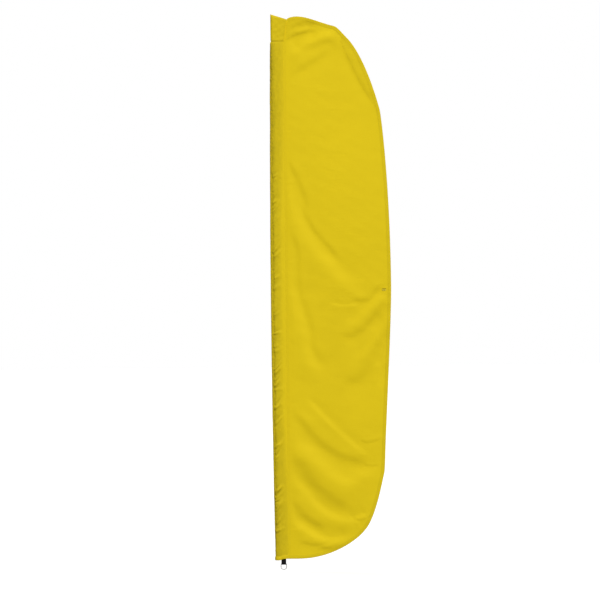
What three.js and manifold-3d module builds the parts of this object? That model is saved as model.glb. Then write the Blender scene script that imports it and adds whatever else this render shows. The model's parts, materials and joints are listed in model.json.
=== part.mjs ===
/*
 * Feather flag on a straight plug-together pole, millimetres.
 *
 * +Z runs up the pole, +X from the pole towards the free edge of the flag, and -Y is the front.
 * The origin is the centre of the pole's foot face.
 *
 * The pole is four sections that plug into each other and stand inside a sleeve down the flag's
 * straight side. The flag hangs from the pocket over the pole's tip, and a webbing loop with a
 * D ring below the sleeve's mouth takes the line that pulls it taut.
 */
import * as THREE from "three";
import { mergeVertices } from "three/addons/utils/BufferGeometryUtils.js";
import Module from "manifold-3d";

const wasm = await Module();
wasm.setup();

// Clearances
const GAP = 0.3; // between pieces that touch but don't move
const RUN = 0.3; // between pieces that slide or turn on each other
const CUT = 20; // how far a cutting solid reaches past what it cuts

// Pole
const SECTION_LENGTH = 755;
const NEST_DEPTH = 100;
const BASE_RADIUS = 11;
const TUBE_WALL = 1.7;
const FERRULE_WALL = 0.8;
const FERRULE_LENGTH = 45;
const FERRULE_END = 3;
const STOP_LENGTH = 20;
const FOOT_FLANGE = 1.5;
const BUSH_DEPTH = 120;
const SPINDLE_STOP = 3; // thickness of the wall across the base tube, above the bush
const SPINDLE_BORE_RADIUS = 6.5;
const CAP_WALL = 2.7;
const CAP_DEPTH = 40;

// Sleeve
const SLEEVE_WALL = 1;
const SLEEVE_SPARE = 10.9; // from the webbing's edge to the seam with the panel
const SLEEVE_BOW = 9.5; // how far its left side stands off at mid height
const SEAM_HALF = 1.5; // half the sleeve's thickness at the seam
const SEAM_ALLOWANCE = 8;
const SLIT_HALF = 0.5; // half the height of the space inside, at the seam
const MOUTH_DROP = 10; // below the pole's foot, on the pole's side
const MOUTH_RISE = 7; // how much higher the mouth is at the seam
const MOUTH_RISE_FROM = 8;
const MOUTH_RISE_TO = 29;
const MOUTH_HEM_WIDTH = 20;

// Pocket over the pole's tip
const POCKET_LENGTH = 131;
const POCKET_WALL = 1;
const POCKET_SHOULDER = 12; // height over which the sleeve narrows below the pocket
const POCKET_FOOT_TAIL = 5; // how far it reaches over the panel, at its foot and at its head
const POCKET_HEAD_TAIL = 17.7;
const TOP_SEAM = 8.8;
const HEAD_SLOPE = 0.318; // fall of the pocket's top edge towards the panel

// Panel and its edges
const PANEL_THICKNESS = 1.2;
const FLAG_WIDTH = 584; // from the pole's axis to the widest point of the free edge
const FOOT_Z = -3.2;
const HEM_WALL = 1;
const HEM_WIDTH = 18;
const FACING_THICKNESS = 0.8;
const BINDING_WIDTH = 14;
const SHOULDER_SPLIT_DROP = 98; // where the head hem ends and the fly hem begins
const FOOT_HEM_LENGTH = 58.7; // from the seam to where the fly hem begins
const TACK_SIZE = [20, 0.8, 11];
const TACK_INSET = 36; // from the widest point to the tack's centre
const TACK_DROP = 1389.5; // below the head

// Webbing loop and D ring
const WEBBING_WIDTH = 24.4;
const WEBBING_THICKNESS = 1.4;
const ANCHOR_HALF = 1.3;
const ANCHOR_INSIDE = 35; // how far the sewn end reaches up the sleeve
const NECK_RADIUS = 1.7; // half the loop's thickness where it hangs from its seam
const LOOP_LENGTH = 16.8; // from the neck to the ring's bar
const WIRE_RADIUS = 1.5;
const RING_DEPTH = 27.4; // from the bar's centreline to the bow's
const RING_CORNER = 2;

// How finely round shapes are divided
const LATHE_STEPS = 32;
const ROUND_STEPS = 20;
const TAPER_STEPS = 6;
const SLEEVE_STATIONS = 16;
const EDGE_STEPS = 9;
const WIRE_SIDES = 10;
const WIRE_STEPS = 60;
const EYE_STEPS = 16;

// Radii that follow from the pole: each section runs inside the one below
const sectionRadius = (index) => BASE_RADIUS - index * (TUBE_WALL + RUN);
const ferruleRadius = (index) => sectionRadius(index) + GAP + FERRULE_WALL;
const CAP_RADIUS = sectionRadius(3) + RUN + CAP_WALL;
const SLEEVE_INNER = ferruleRadius(0) + RUN;
const SLEEVE_RADIUS = SLEEVE_INNER + SLEEVE_WALL;
const TIP_SLEEVE_INNER = CAP_RADIUS + RUN;
const TIP_SLEEVE_RADIUS = TIP_SLEEVE_INNER + SLEEVE_WALL;
const POCKET_INNER = TIP_SLEEVE_RADIUS + GAP;
const POCKET_RADIUS = POCKET_INNER + POCKET_WALL;

// Heights that follow from the pole
const SECTION_RISE = SECTION_LENGTH - NEST_DEPTH;
const POLE_TOP = 3 * SECTION_RISE + SECTION_LENGTH;
const POCKET_INNER_TOP = POLE_TOP + CAP_RADIUS * Math.hypot(1, HEAD_SLOPE) + RUN;
const HEAD_Z = POCKET_INNER_TOP + TOP_SEAM + GAP + POCKET_WALL;
const POCKET_FOOT_Z = HEAD_Z - POCKET_LENGTH;

// Widths that follow from the pole and the ring beside it, which passes the pole when the flag is
// pulled off
const RING_OVERHANG = RUN + 2 * WIRE_RADIUS; // past the webbing's edge
const WEBBING_X = SLEEVE_INNER + RING_OVERHANG + WEBBING_WIDTH / 2;
const SLEEVE_WIDTH = WEBBING_X + WEBBING_WIDTH / 2 + SLEEVE_SPARE; // from the pole's axis
const PANEL_LEFT = SLEEVE_WIDTH + GAP;
const POCKET_FOOT_WIDTH = PANEL_LEFT + POCKET_FOOT_TAIL;
const POCKET_HEAD_WIDTH = PANEL_LEFT + POCKET_HEAD_TAIL;
const FOOT_SPLIT_X = PANEL_LEFT + FOOT_HEM_LENGTH;

// Depths that follow from the panel
const SLOT_HALF = PANEL_THICKNESS / 2 + GAP;
const HEM_HALF = SLOT_HALF + HEM_WALL;
const POCKET_SLOT_HALF = SEAM_HALF + GAP;

const FINISHES = {
  fabric: new THREE.MeshStandardMaterial({ color: 0xdcc61c, roughness: 0.7, metalness: 0 }),
  hem: new THREE.MeshStandardMaterial({ color: 0xd2bb18, roughness: 0.7, metalness: 0 }),
  webbing: new THREE.MeshStandardMaterial({ color: 0x111111, roughness: 0.8, metalness: 0 }),
  steel: new THREE.MeshStandardMaterial({ color: 0xc8c8ca, roughness: 0.25, metalness: 1 }),
  aluminium: new THREE.MeshStandardMaterial({ color: 0xb9bcbe, roughness: 0.4, metalness: 1 }),
  fibreglass: new THREE.MeshStandardMaterial({ color: 0x1b1c1e, roughness: 0.35, metalness: 0 }),
  plastic: new THREE.MeshStandardMaterial({ color: 0x3a3b3d, roughness: 0.6, metalness: 0 }),
  rubber: new THREE.MeshStandardMaterial({ color: 0x161616, roughness: 0.85, metalness: 0 }),
};

// ---------------------------------------------------------------- solids

/** A manifold solid from a closed three.js geometry. */
function toSolid(geometry) {
  const bare = geometry.clone();
  bare.deleteAttribute("normal");
  bare.deleteAttribute("uv");
  const merged = mergeVertices(bare, 1e-4);
  return new wasm.Manifold(
    new wasm.Mesh({
      numProp: 3,
      vertProperties: new Float32Array(merged.attributes.position.array),
      triVerts: new Uint32Array(merged.index.array),
    }),
  );
}

/** A three.js geometry from a manifold solid. */
function toGeometry(solid) {
  const mesh = solid.getMesh();
  const geometry = new THREE.BufferGeometry();
  geometry.setAttribute("position", new THREE.BufferAttribute(mesh.vertProperties, 3));
  geometry.setIndex(new THREE.BufferAttribute(mesh.triVerts, 1));
  geometry.computeVertexNormals();
  return geometry;
}

/** A solid of revolution about Z. The profile's outer side runs upwards. */
function turned(profile) {
  const points = profile.map(([radius, z]) => new THREE.Vector2(radius, z));
  return new THREE.LatheGeometry(points, LATHE_STEPS).rotateX(Math.PI / 2);
}

/** A tube or ring about Z. */
function ring(inner, outer, bottom, top) {
  return turned([
    [inner, bottom],
    [outer, bottom],
    [outer, top],
    [inner, top],
    [inner, bottom],
  ]);
}

/** A flat sheet lying in the XZ plane, between two depths. */
function sheet(points, front, back) {
  const shape = new THREE.Shape(points.map(([x, z]) => new THREE.Vector2(x, z)));
  const geometry = new THREE.ExtrudeGeometry(shape, { depth: back - front, bevelEnabled: false });
  return geometry.rotateX(Math.PI / 2).translate(0, back, 0);
}

/** A rectangular block between two corners. */
function block(low, high) {
  const size = high.map((value, axis) => value - low[axis]);
  const centre = high.map((value, axis) => (value + low[axis]) / 2);
  return new THREE.BoxGeometry(...size).translate(...centre);
}

/** A closed solid through a stack of loops, which run anticlockwise seen from above. */
function loft(loops) {
  const count = loops[0].length;
  const mean = (loop, axis) => loop.reduce((sum, point) => sum + point[axis], 0) / count;
  const middle = (loop) => [0, 1, 2].map((axis) => mean(loop, axis));
  const topLoop = loops[loops.length - 1];
  const positions = [...loops.flat(2), ...middle(loops[0]), ...middle(topLoop)];
  const faces = [];
  const topStart = (loops.length - 1) * count;
  const bottomMiddle = loops.length * count;
  const topMiddle = bottomMiddle + 1;
  for (let i = 0; i < count; i++) {
    const next = (i + 1) % count;
    for (let low = 0; low < topStart; low += count) {
      const high = low + count;
      faces.push(low + i, low + next, high + next);
      faces.push(low + i, high + next, high + i);
    }
    faces.push(bottomMiddle, next, i);
    faces.push(topMiddle, topStart + i, topStart + next);
  }
  const geometry = new THREE.BufferGeometry();
  geometry.setAttribute("position", new THREE.Float32BufferAttribute(positions, 3));
  geometry.setIndex(faces);
  return geometry;
}

// ---------------------------------------------------------------- pole

/** Height of a section's lower end. */
const sectionFoot = (index) => index * SECTION_RISE;

/** Height of the outside of the ferrule on a section's upper end. */
const ferruleTop = (index) => sectionFoot(index) + SECTION_LENGTH + GAP + FERRULE_END;

/** A tube section of the pole, open at both ends. */
function poleTube(index) {
  const radius = sectionRadius(index);
  const foot = sectionFoot(index);
  return ring(radius - TUBE_WALL, radius, foot, foot + SECTION_LENGTH);
}

/** The lowest tube, which stands on the bush's flange and has a wall that stops the spindle. */
function baseTube() {
  const inner = BASE_RADIUS - TUBE_WALL;
  const foot = FOOT_FLANGE + GAP;
  const stop = BUSH_DEPTH + GAP;
  return turned([
    [0, stop],
    [inner, stop],
    [inner, foot],
    [BASE_RADIUS, foot],
    [BASE_RADIUS, SECTION_LENGTH],
    [inner, SECTION_LENGTH],
    [inner, stop + SPINDLE_STOP],
    [0, stop + SPINDLE_STOP],
  ]);
}

/** The metal cup over a section's upper end, with a hole for the next section. */
function ferrule(index) {
  const inner = sectionRadius(index) + GAP;
  const tubeTop = sectionFoot(index) + SECTION_LENGTH;
  const hole = sectionRadius(index + 1) + RUN;
  return turned([
    [inner, tubeTop - FERRULE_LENGTH],
    [ferruleRadius(index), tubeTop - FERRULE_LENGTH],
    [ferruleRadius(index), ferruleTop(index)],
    [hole, ferruleTop(index)],
    [hole, tubeTop + GAP],
    [inner, tubeTop + GAP],
    [inner, tubeTop - FERRULE_LENGTH],
  ]);
}

/** The ring fixed on a section that sits on the ferrule below it. */
function stopRing(index) {
  const bottom = ferruleTop(index - 1) + GAP;
  return ring(
    sectionRadius(index) + GAP,
    sectionRadius(index - 1),
    bottom,
    bottom + STOP_LENGTH,
  );
}

/** The flanged plastic bush in the pole's foot, bored for a spindle. */
function footBush() {
  const plug = BASE_RADIUS - TUBE_WALL - GAP;
  return turned([
    [SPINDLE_BORE_RADIUS, 0],
    [BASE_RADIUS, 0],
    [BASE_RADIUS, FOOT_FLANGE],
    [plug, FOOT_FLANGE],
    [plug, BUSH_DEPTH],
    [SPINDLE_BORE_RADIUS, BUSH_DEPTH],
    [SPINDLE_BORE_RADIUS, 0],
  ]);
}

/** The solid rod at the pole's tip. */
function tipRod() {
  const radius = sectionRadius(3);
  return turned([
    [0, sectionFoot(3)],
    [radius, sectionFoot(3)],
    [radius, POLE_TOP],
    [0, POLE_TOP],
  ]);
}

/** The domed cap that turns on the rod's end. */
function tipCap() {
  const bore = sectionRadius(3) + RUN;
  const bottom = POLE_TOP - CAP_DEPTH;
  const dome = [];
  const steps = 6;
  for (let i = 0; i <= steps; i++) {
    const angle = (i / steps) * (Math.PI / 2);
    const radius = i === steps ? 0 : CAP_RADIUS * Math.cos(angle);
    dome.push([radius, POLE_TOP + CAP_RADIUS * Math.sin(angle)]);
  }
  const inside = [
    [0, POLE_TOP + RUN],
    [bore, POLE_TOP + RUN],
    [bore, bottom],
  ];
  return turned([...inside, [CAP_RADIUS, bottom], ...dome]);
}

// ---------------------------------------------------------------- sleeve and pocket

/**
 * Cross-section of the sleeve seen from above: round about the pole, bowed out to the left, and
 * tapering to the seam, with an optional flat tail past it.
 */
function sleeveSection({ radius, bow = 0, seamX, seamHalf, tailX = seamX }) {
  const tangent = Math.atan2(seamHalf, seamX) + Math.acos(radius / Math.hypot(seamX, seamHalf));
  const touch = [radius * Math.cos(tangent), radius * Math.sin(tangent)];
  const upper = tailX > seamX ? [[tailX, seamHalf]] : [];
  for (let i = 0; i < TAPER_STEPS; i++) {
    const share = i / TAPER_STEPS;
    upper.push([seamX + (touch[0] - seamX) * share, seamHalf + (touch[1] - seamHalf) * share]);
  }
  const round = [];
  for (let i = 0; i <= ROUND_STEPS; i++) {
    const angle = tangent + (2 * (Math.PI - tangent) * i) / ROUND_STEPS;
    const x = radius * Math.cos(angle);
    round.push([x < 0 ? (x * (radius + bow)) / radius : x, radius * Math.sin(angle)]);
  }
  const lower = upper.map(([x, y]) => [x, -y]).reverse();
  return [...upper, ...round, ...lower];
}

/** A section's loop at a height, which may be a number or follow x. */
function loopAt(section, height) {
  return section.map(([x, y]) => [x, y, typeof height === "function" ? height(x) : height]);
}

/** Height of the flag's top edge over the sleeve and pocket. */
const headLine = (x) => HEAD_Z - HEAD_SLOPE * x;

/** Height of the sleeve's mouth. */
function mouthLine(x) {
  return MOUTH_RISE * THREE.MathUtils.smoothstep(x, MOUTH_RISE_FROM, MOUTH_RISE_TO) - MOUTH_DROP;
}

/** How far the sleeve's left side stands off the pole at a height. */
function sleeveBow(z) {
  const share = THREE.MathUtils.clamp(z / POCKET_FOOT_Z, 0, 1);
  return SLEEVE_BOW * Math.sin(Math.PI * share);
}

/** The sleeve's outer or inner surface as a closed solid. */
function sleeveForm({ radius, tipRadius, seamX, seamHalf, bottom, top }) {
  const shoulderZ = POCKET_FOOT_Z - GAP - POCKET_SHOULDER;
  const loops = [loopAt(sleeveSection({ radius, seamX, seamHalf }), bottom)];
  for (let i = 1; i <= SLEEVE_STATIONS; i++) {
    const z = (shoulderZ * i) / SLEEVE_STATIONS;
    loops.push(loopAt(sleeveSection({ radius, bow: sleeveBow(z), seamX, seamHalf }), z));
  }
  const tip = sleeveSection({ radius: tipRadius, seamX, seamHalf });
  loops.push(loopAt(tip, POCKET_FOOT_Z - GAP));
  loops.push(loopAt(tip, top));
  return toSolid(loft(loops));
}

/** The folded strip of fabric that the pole stands in, open at its mouth. */
function poleSleeve() {
  const outer = sleeveForm({
    radius: SLEEVE_RADIUS,
    tipRadius: TIP_SLEEVE_RADIUS,
    seamX: SLEEVE_WIDTH,
    seamHalf: SEAM_HALF,
    bottom: mouthLine,
    top: (x) => headLine(x) - POCKET_WALL - GAP,
  });
  const inner = sleeveForm({
    radius: SLEEVE_INNER,
    tipRadius: TIP_SLEEVE_INNER,
    seamX: SLEEVE_WIDTH - SEAM_ALLOWANCE,
    seamHalf: SLIT_HALF,
    bottom: -MOUTH_DROP - CUT,
    top: (x) => headLine(x) - POCKET_WALL - GAP - TOP_SEAM,
  });
  return toGeometry(outer.subtract(inner));
}

/** The doubled pocket over the sleeve's top, open below and towards the panel. */
function tipPocket() {
  const section = (radius, half, tailX) =>
    sleeveSection({ radius, seamX: SLEEVE_WIDTH, seamHalf: half, tailX });
  const outerHalf = POCKET_SLOT_HALF + POCKET_WALL;
  const outer = toSolid(
    loft([
      loopAt(section(POCKET_RADIUS, outerHalf, POCKET_FOOT_WIDTH), POCKET_FOOT_Z),
      loopAt(section(POCKET_RADIUS, outerHalf, POCKET_HEAD_WIDTH), headLine),
    ]),
  );
  const cavity = section(POCKET_INNER, POCKET_SLOT_HALF, POCKET_HEAD_WIDTH + CUT);
  const inner = toSolid(
    loft([
      loopAt(cavity, POCKET_FOOT_Z - CUT),
      loopAt(cavity, (x) => headLine(x) - POCKET_WALL),
    ]),
  );
  return toGeometry(outer.subtract(inner));
}

/** The hem round the sleeve's mouth, open towards the panel. */
function mouthHem() {
  const wrap = (radius, half, tailX, bottom, top) => {
    const section = sleeveSection({ radius, seamX: SLEEVE_WIDTH, seamHalf: half, tailX });
    return toSolid(loft([loopAt(section, bottom), loopAt(section, top)]));
  };
  const bow = sleeveBow(MOUTH_HEM_WIDTH);
  const inner = SLEEVE_RADIUS + bow + GAP;
  const innerHalf = SEAM_HALF + GAP;
  const top = (x) => mouthLine(x) + MOUTH_HEM_WIDTH;
  const outer = wrap(inner + HEM_WALL, innerHalf + HEM_WALL, SLEEVE_WIDTH, mouthLine, top);
  const cavity = wrap(inner, innerHalf, SLEEVE_WIDTH + CUT, -MOUTH_DROP - CUT, MOUTH_HEM_WIDTH + CUT);
  return toGeometry(outer.subtract(cavity));
}

// ---------------------------------------------------------------- panel and edges

/** The flag's finished edge from the pocket round to the sleeve's mouth, as a path in XZ. */
function edgePath() {
  const head = (x, drop) => new THREE.Vector2(x, HEAD_Z - drop);
  const fly = (inset, drop) => new THREE.Vector2(FLAG_WIDTH - inset, HEAD_Z - drop);
  const foot = (inset, rise) => new THREE.Vector2(FLAG_WIDTH - inset, FOOT_Z + rise);
  const start = new THREE.Vector2(PANEL_LEFT - CUT, headLine(PANEL_LEFT - CUT));
  const notch = new THREE.Vector2(POCKET_HEAD_WIDTH, headLine(POCKET_HEAD_WIDTH));
  const crest = head(POCKET_HEAD_WIDTH + 55, 9);
  const shoulder = fly(275, 59);
  const neck = fly(200, 130);
  const chest = fly(48, 485);
  const widest = fly(0, 1367);
  const knee = foot(42.5, 442);
  const heel = foot(145, 141);
  const toe = new THREE.Vector2(FOOT_SPLIT_X, FOOT_Z);
  const path = new THREE.CurvePath();
  const bend = (from, lead, trail, to) => path.add(new THREE.CubicBezierCurve(from, lead, trail, to));
  path.add(new THREE.LineCurve(start, notch));
  bend(notch, head(POCKET_HEAD_WIDTH + 11, 17), head(POCKET_HEAD_WIDTH + 19, 9), crest);
  bend(crest, head(POCKET_HEAD_WIDTH + 105, 9), fly(344, 42), shoulder);
  bend(shoulder, fly(257, 64.5), fly(242, 86), neck);
  bend(neck, fly(138, 204), fly(83, 348), chest);
  bend(chest, fly(29, 597), fly(0, 963), widest);
  bend(widest, fly(0, 1533), foot(25.5, 813), knee);
  bend(knee, foot(67, 319), foot(101, 188), heel);
  bend(heel, foot(187, 88), foot(316, 0), toe);
  path.add(new THREE.LineCurve(toe, new THREE.Vector2(PANEL_LEFT - CUT, FOOT_Z)));
  return path;
}

/** Points along the flag's edge, moved inwards by an inset. */
function edgePoints(inset) {
  const points = [];
  for (const curve of edgePath().curves) {
    const steps = curve.isLineCurve ? 1 : EDGE_STEPS;
    points.push(...curve.getPoints(steps).slice(points.length ? 1 : 0));
  }
  return points.map((point, i) => {
    const before = points[Math.max(i - 1, 0)];
    const after = points[Math.min(i + 1, points.length - 1)];
    const along = after.clone().sub(before).normalize();
    return [point.x + along.y * inset, point.y - along.x * inset];
  });
}

/** The sheet inside the flag's edge, cut off at the sleeve. */
function flagSheet(inset, front, back) {
  const whole = toSolid(sheet(edgePoints(inset), front, back));
  const low = [PANEL_LEFT, -FLAG_WIDTH, FOOT_Z - CUT];
  const high = [FLAG_WIDTH + CUT, FLAG_WIDTH, HEAD_Z + CUT];
  return whole.intersect(toSolid(block(low, high)));
}

/** The single sheet of the flag. */
function flagPanel() {
  return toGeometry(flagSheet(HEM_WALL + GAP, -PANEL_THICKNESS / 2, PANEL_THICKNESS / 2));
}

/** The stretch of the folded hem that lies between two corners in XZ. */
function hem(low, high) {
  const folded = flagSheet(0, -HEM_HALF, HEM_HALF)
    .subtract(flagSheet(HEM_WALL, -SLOT_HALF, SLOT_HALF))
    .subtract(flagSheet(HEM_WIDTH, -HEM_HALF - CUT, HEM_HALF + CUT));
  const zone = block([low[0], -CUT, low[1]], [high[0], CUT, high[1]]);
  return toGeometry(folded.intersect(toSolid(zone)));
}

const SHOULDER_SPLIT_Z = HEAD_Z - SHOULDER_SPLIT_DROP;
const PAST_FLY = FLAG_WIDTH + CUT;

/** The hem of the top edge, from the pocket to the shoulder. */
function headHem() {
  return hem([POCKET_HEAD_WIDTH + GAP, SHOULDER_SPLIT_Z + GAP], [PAST_FLY, HEAD_Z + CUT]);
}

/** The hem of the free edge, from the shoulder to the foot. */
function flyHem() {
  return hem([FOOT_SPLIT_X + GAP, FOOT_Z - CUT], [PAST_FLY, SHOULDER_SPLIT_Z]);
}

/** The hem of the foot, from the sleeve to the fly hem. */
function footHem() {
  return hem([PANEL_LEFT, FOOT_Z - CUT], [FOOT_SPLIT_X, FOOT_Z + HEM_WIDTH + CUT]);
}

/** A doubled piece on the panel's front, inside the hems and inside an outline of its own. */
function facing(outline) {
  const back = -SLOT_HALF;
  const front = back - FACING_THICKNESS;
  const inside = flagSheet(HEM_WIDTH + GAP, front, back);
  const cutter = toSolid(sheet(outline, front - CUT, back + CUT));
  return toGeometry(inside.intersect(cutter));
}

/** The facing under the top edge, beside the pocket. */
function headFacing() {
  const left = POCKET_HEAD_WIDTH + 2 * GAP;
  return facing([
    [left, HEAD_Z - 127],
    [left + 24, HEAD_Z - 112],
    [left + 105, HEAD_Z - 87.6],
    [left + 130, HEAD_Z - 67.7],
    [left + 156, HEAD_Z],
    [left, HEAD_Z],
  ]);
}

/** The long facing inside the upper part of the free edge, ending in a point. */
function flyFacing() {
  return facing([
    [FLAG_WIDTH - 244.4, HEAD_Z - 134.7],
    [FLAG_WIDTH - 175.5, HEAD_Z - 286.7],
    [FLAG_WIDTH - 136, HEAD_Z - 367.8],
    [FLAG_WIDTH - 71.6, HEAD_Z - 469.4],
    [PAST_FLY, HEAD_Z - 469.4],
    [PAST_FLY, HEAD_Z - 106],
    [FLAG_WIDTH - 232, HEAD_Z - 106],
  ]);
}

/** The binding over the sleeve's seam, on the side that faces towards side (-1 front, 1 back). */
function seamBinding(side) {
  const near = side * SLOT_HALF;
  const far = side * (SLOT_HALF + FACING_THICKNESS);
  const low = [PANEL_LEFT, Math.min(near, far), FOOT_Z + HEM_WIDTH + GAP];
  const high = [PANEL_LEFT + BINDING_WIDTH, Math.max(near, far), POCKET_FOOT_Z - GAP];
  return block(low, high);
}

/** The small sewn tack near the free edge. */
function flyTack() {
  const [length, depth, height] = TACK_SIZE;
  const x = FLAG_WIDTH - TACK_INSET;
  const z = HEAD_Z - TACK_DROP;
  const low = [x - length / 2, -SLOT_HALF - depth, z - height / 2];
  const high = [x + length / 2, -SLOT_HALF, z + height / 2];
  return block(low, high);
}

// ---------------------------------------------------------------- webbing loop and ring

const EYE_RADIUS = WIRE_RADIUS + RUN;
const LOOP_HINGE_Z = -MOUTH_DROP - 2 * GAP - NECK_RADIUS - RUN;
const BAR_Z = LOOP_HINGE_Z - LOOP_LENGTH;

/** The webbing's sewn end, inside the sleeve's mouth. */
function webbingAnchor() {
  const half = WEBBING_WIDTH / 2;
  const low = [WEBBING_X - half, -ANCHOR_HALF, LOOP_HINGE_Z + NECK_RADIUS + RUN];
  return block(low, [WEBBING_X + half, ANCHOR_HALF, ANCHOR_INSIDE]);
}

/** The webbing loop below the mouth: a drop-shaped fold with the ring's bar through it. */
function webbingLoop() {
  const belly = EYE_RADIUS + WEBBING_THICKNESS;
  const lean = Math.asin((belly - NECK_RADIUS) / LOOP_LENGTH);
  const shape = new THREE.Shape();
  shape.absarc(0, LOOP_HINGE_Z, NECK_RADIUS, lean, Math.PI - lean, false);
  shape.absarc(0, BAR_Z, belly, Math.PI - lean, 2 * Math.PI + lean, false);
  const eye = new THREE.Path();
  eye.absarc(0, BAR_Z, EYE_RADIUS, 0, 2 * Math.PI, true);
  shape.holes.push(eye);
  const settings = { depth: WEBBING_WIDTH, bevelEnabled: false, curveSegments: EYE_STEPS };
  const geometry = new THREE.ExtrudeGeometry(shape, settings);
  // The shape's x becomes Y, its y becomes Z, and it is extruded along X
  const turn = new THREE.Matrix4().makeBasis(
    new THREE.Vector3(0, 1, 0),
    new THREE.Vector3(0, 0, 1),
    new THREE.Vector3(1, 0, 0),
  );
  return geometry.applyMatrix4(turn).translate(WEBBING_X - WEBBING_WIDTH / 2, 0, 0);
}

/** The D ring: a straight bar in the loop's eye and a round bow below it. */
function dRing() {
  const half = WEBBING_WIDTH / 2 + RUN + WIRE_RADIUS;
  const bowZ = BAR_Z - RING_DEPTH + half;
  const line = new THREE.Shape();
  line.absarc(half - RING_CORNER, BAR_Z - RING_CORNER, RING_CORNER, 0, Math.PI / 2, false);
  line.absarc(RING_CORNER - half, BAR_Z - RING_CORNER, RING_CORNER, Math.PI / 2, Math.PI, false);
  line.absarc(0, bowZ, half, Math.PI, 2 * Math.PI, false);
  line.closePath();
  const stations = line.getSpacedPoints(WIRE_STEPS).slice(0, WIRE_STEPS);
  const positions = [];
  const faces = [];
  stations.forEach((point, i) => {
    const before = stations[(i + WIRE_STEPS - 1) % WIRE_STEPS];
    const after = stations[(i + 1) % WIRE_STEPS];
    const along = after.clone().sub(before).normalize();
    for (let k = 0; k < WIRE_SIDES; k++) {
      const angle = (2 * Math.PI * k) / WIRE_SIDES;
      const out = WIRE_RADIUS * Math.cos(angle);
      positions.push(point.x + along.y * out, WIRE_RADIUS * Math.sin(angle), point.y - along.x * out);
      const next = (k + 1) % WIRE_SIDES;
      const here = i * WIRE_SIDES;
      const ahead = ((i + 1) % WIRE_STEPS) * WIRE_SIDES;
      faces.push(here + k, here + next, ahead + next);
      faces.push(here + k, ahead + next, ahead + k);
    }
  });
  const geometry = new THREE.BufferGeometry();
  geometry.setAttribute("position", new THREE.Float32BufferAttribute(positions, 3));
  geometry.setIndex(faces);
  return geometry.translate(WEBBING_X, 0, 0);
}

// ---------------------------------------------------------------- assembly

/** A group of named meshes from rows of name, geometry and finish. */
function assembly(rows) {
  const group = new THREE.Group();
  for (const [name, geometry, finish] of rows) {
    const mesh = new THREE.Mesh(geometry, finish);
    mesh.name = name;
    group.add(mesh);
  }
  return group;
}

const pole = assembly([
  ["foot_bush", footBush(), FINISHES.plastic],
  ["base_tube", baseTube(), FINISHES.fibreglass],
  ["base_ferrule", ferrule(0), FINISHES.aluminium],
  ["middle_tube", poleTube(1), FINISHES.fibreglass],
  ["middle_stop_ring", stopRing(1), FINISHES.aluminium],
  ["middle_ferrule", ferrule(1), FINISHES.aluminium],
  ["upper_tube", poleTube(2), FINISHES.fibreglass],
  ["upper_stop_ring", stopRing(2), FINISHES.aluminium],
  ["upper_ferrule", ferrule(2), FINISHES.aluminium],
  ["tip_rod", tipRod(), FINISHES.fibreglass],
  ["tip_stop_ring", stopRing(3), FINISHES.aluminium],
  ["tip_cap", tipCap(), FINISHES.rubber],
]);

const flag = assembly([
  ["flag_panel", flagPanel(), FINISHES.fabric],
  ["pole_sleeve", poleSleeve(), FINISHES.fabric],
  ["tip_pocket", tipPocket(), FINISHES.hem],
  ["sleeve_mouth_hem", mouthHem(), FINISHES.hem],
  ["head_hem", headHem(), FINISHES.hem],
  ["fly_hem", flyHem(), FINISHES.hem],
  ["foot_hem", footHem(), FINISHES.hem],
  ["head_facing", headFacing(), FINISHES.fabric],
  ["fly_facing", flyFacing(), FINISHES.fabric],
  ["seam_binding_front", seamBinding(-1), FINISHES.hem],
  ["seam_binding_back", seamBinding(1), FINISHES.hem],
  ["fly_bar_tack", flyTack(), FINISHES.hem],
  ["webbing_anchor", webbingAnchor(), FINISHES.webbing],
]);

const tether = assembly([
  ["webbing_loop", webbingLoop(), FINISHES.webbing],
  ["d_ring", dRing(), FINISHES.steel],
]);

const featherFlag = new THREE.Group();
featherFlag.add(pole, flag, tether);

export default featherFlag;
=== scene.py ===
"""A feather flag on its plug-together pole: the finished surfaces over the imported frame.

The row frame is metres, +Z up the pole, +X towards the flag's free edge and -Y the front. Each
sub-assembly is a class that makes and dresses its own pieces. Cloth is cut flat, laid over one
drape function, and given its thickness in code, so hems, facings and stitches follow the folds.
"""

import json
import logging
import math
from dataclasses import dataclass, field
from enum import Enum
from typing import Iterable, Optional, Sequence

import bmesh
import bpy
import numpy as np
from mathutils import Matrix, Vector
from mathutils.geometry import delaunay_2d_cdt


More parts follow.
